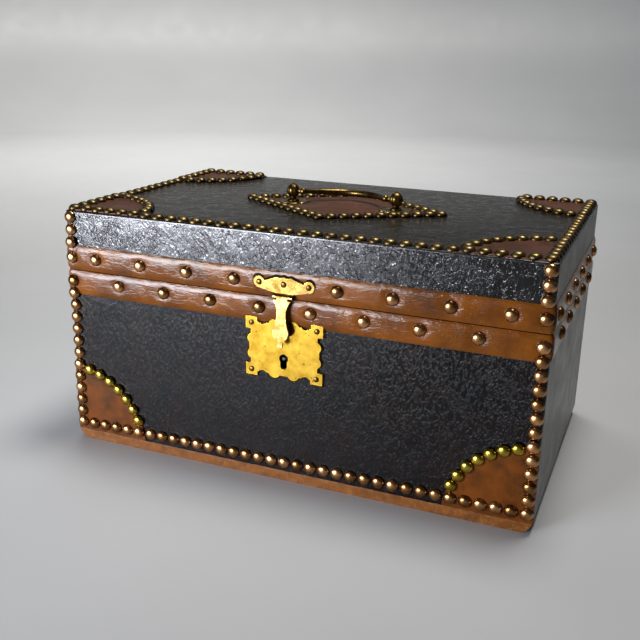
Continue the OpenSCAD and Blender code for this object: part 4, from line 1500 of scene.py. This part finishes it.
@dataclass
class Studio:
    """The pale floor, the soft lamps and the camera."""

    camera_mm: tuple[float, float, float] = (234.0, -613.1, 303.1)
    lens_mm: float = 49.32
    sensor_mm: float = 36.0
    yaw_degrees: float = -22.3
    pitch_degrees: float = 18.1
    roll_degrees: float = 1.03
    # The nearest and farthest that the camera sees, and the floor's radius, in metres
    clip: Span = (0.01, 20.0)
    floor_radius: float = 2.2
    floor_sides: int = 96
    # How far out, as a share of the floor's radius, and how high its edge curves up, in metres
    floor_curve: tuple[Span, ...] = (
        (1.06, 0.02), (1.13, 0.08), (1.19, 0.18), (1.23, 0.3), (1.25, 0.5), (1.25, 0.9),
    )
    world_tone: str = "a9acb0"
    world_strength: float = 0.13
    lamps: tuple[Lamp, ...] = (
        Lamp(
            "window_left", (-0.575, -0.95, 0.205), (-0.05, 0.0, 0.19), wide=0.66, tall=0.4,
            power=4.8, tint="f0f4ff", spread_degrees=60.0,
        ),
        Lamp(
            "wall_wash", (-0.7, 0.9, 2.0), (-1.0, 1.5, 0.0), wide=1.0,
            power=30.0, tint="fffdf8", spread_degrees=104.0,
        ),
        Lamp(
            "fill_front", (0.4, -2.0, 1.9), (0.4, -2.5, 0.2), wide=1.0,
            power=9.0, tint="fffdf8", spread_degrees=110.0,
        ),
        Lamp(
            "ceiling", (0.2, 0.15, 1.5), (0.0, -0.05, 0.0), wide=0.5,
            power=4.1, tint="fffaf4", spread_degrees=80.0,
        ),
    )

    def floor(self) -> None:
        """Models a round floor whose edge curves up all round, so that no view finds its end."""
        radius = self.floor_radius
        bowl = start(
            Stock.CIRCLE, "floor", vertices=self.floor_sides, radius=radius, fill_type="NGON"
        )
        moves: list[Move] = []
        width = 1.0
        height = 0.0
        for wide, high in self.floor_curve:
            moves += [pull(0, 0, high - height), widen(wide / width)]
            height = high
            width = wide
        moves.append(partial(bpy.ops.mesh.delete, type="ONLY_FACE"))
        pick(bowl, Part.FACES, lambda place, way: True)
        edit(bowl, *moves)
        right_way_out(bowl)
        edit(
            bowl, partial(bpy.ops.mesh.select_all, action="SELECT"), bpy.ops.mesh.flip_normals
        )
        smooth(bowl, degrees=60)
        dress(bowl, Laminate().make())

    def camera(self) -> None:
        """Puts the camera where the photograph was taken from."""
        angles = (self.yaw_degrees, self.pitch_degrees, self.roll_degrees)
        yaw, pitch, roll = (math.radians(angle) for angle in angles)
        flat = Vector((math.sin(yaw), math.cos(yaw), 0))
        ahead = flat * math.cos(pitch) - Vector((0, 0, math.sin(pitch)))
        right = Vector((math.cos(yaw), -math.sin(yaw), 0))
        up = right.cross(ahead)
        right, up = (
            right * math.cos(roll) + up * math.sin(roll),
            up * math.cos(roll) - right * math.sin(roll),
        )
        data = bpy.data.cameras.new("camera")
        data.lens = self.lens_mm
        data.sensor_width = self.sensor_mm
        data.clip_start, data.clip_end = self.clip
        camera = bpy.data.objects.new("camera", data)
        bpy.context.scene.collection.objects.link(camera)
        turn = Matrix((right, up, -ahead)).transposed().to_4x4()
        camera.matrix_world = Matrix.Translation(Vector(self.camera_mm) * MM) @ turn
        bpy.context.scene.camera = camera

    def build(self) -> None:
        """Builds the room."""
        self.camera()
        self.floor()
        for lamp in self.lamps:
            lamp.light()
        world = bpy.data.worlds.new("soft_grey_room")
        world.use_nodes = True
        sky = world.node_tree.nodes["Background"]
        sky.inputs["Color"].default_value = linear(self.world_tone)
        sky.inputs["Strength"].default_value = self.world_strength
        bpy.context.scene.world = world
        bpy.context.scene.view_settings.view_transform = "Standard"


# ---- The box ----


@dataclass
class StationeryBox:
    """The whole box, sub-assembly by sub-assembly."""

    finishes: Finishes

    def leather(self) -> None:
        """The black skins, the tan bands and the patches."""
        done = self.finishes
        for node, material in (
            ("base_front_leather", done.base_front),
            ("lid_front_leather", done.lid_front),
            ("base_wrap_leather", done.smooth_black),
            ("lid_wrap_leather", done.smooth_black),
            ("lid_top_leather", done.top_black),
            ("base_bottom_leather", done.smooth_black),
        ):
            Fitting(node, material).build()
        for node, material in (
            ("base_left_patch", done.patch),
            ("base_right_patch", done.patch),
            ("base_foot_strip", done.foot),
            # The top patches' grey cast is partly painted reflection
            ("lid_patch_front_left", done.faded_patch_with_painted_sheen),
            ("lid_patch_front_right", done.faded_patch_with_painted_sheen),
            ("lid_patch_back_left", done.faded_patch_with_painted_sheen),
            ("lid_patch_back_right", done.faded_patch_with_painted_sheen),
            ("lid_diamond_patch", done.faded_patch_with_painted_sheen),
        ):
            Fitting(node, material, ease_mm=0.3).build()
        for node, fold_up, nails, under in (
            ("base_rim_band", -1, ("base_band_studs", "base_edge_studs"), "lock_plate"),
            ("lid_rim_band", 1, ("lid_band_studs", "lid_edge_studs"), "hasp_plate"),
        ):
            RimBand(node, fold_up, nails, under, done).build()

    def metal(self) -> None:
        """The lock, the hasp, the hinges and the bail."""
        done = self.finishes
        # The dark line round each plate is old polish and painted shadow
        OutlinedSheet("lock_plate", done.plate, polish_and_shadow_finish=done.polish_and_painted_shadow).build()
        OutlinedSheet("hasp_plate", done.sheet, polish_and_shadow_finish=done.polish_and_painted_shadow, still_share=0.0).build()
        for node, material, ease in (
            ("hasp_tongue", done.tongue, 0.45),
            ("hasp_staple", done.tongue, 0.15),
            ("hasp_pin", done.antique, 0.1),
            ("bail_grip", done.antique, 0.0),
            ("bail_ends", done.antique, 0.3),
            ("hinge_left_base_leaf", done.hinge, 0.15),
            ("hinge_right_base_leaf", done.hinge, 0.15),
            ("hinge_left_lid_leaf", done.hinge, 0.15),
            ("hinge_right_lid_leaf", done.hinge, 0.15),
            ("hinge_pins", done.hinge, 0.2),
            ("hinge_base_screws", done.hinge, 0.0),
            ("hinge_lid_screws", done.hinge, 0.0),
            ("handle_nuts", done.hinge, 0.25),
        ):
            Fitting(node, material, ease_mm=ease, steps=3 if ease > 0.4 else 2).build()
        for side in Side:
            HandlePost(side, done).build()

    def inside(self) -> None:
        """The boards, linings and lock works, which keep their CAD shape."""
        done = self.finishes
        for node, piece in frame["nodes"].items():
            if node.endswith("_board"):
                dress(piece, done.pine)
            elif node.endswith("_lining"):
                dress(piece, done.paper)
            elif node in ("lock_case", "lock_bolt", "lock_drill_pin"):
                dress(piece, done.iron)
            else:
                continue
            report(piece, BODY_OF[node])

    def build(self) -> None:
        """Builds the box."""
        self.inside()
        self.leather()
        self.metal()
        NailRows(self.finishes).build()


def main() -> None:
    """Builds the room and the box."""
    logging.basicConfig(level=logging.INFO, format="%(name)s: %(message)s")
    Studio().build()
    StationeryBox(Finishes()).build()


if __name__ == "__main__":
    main()
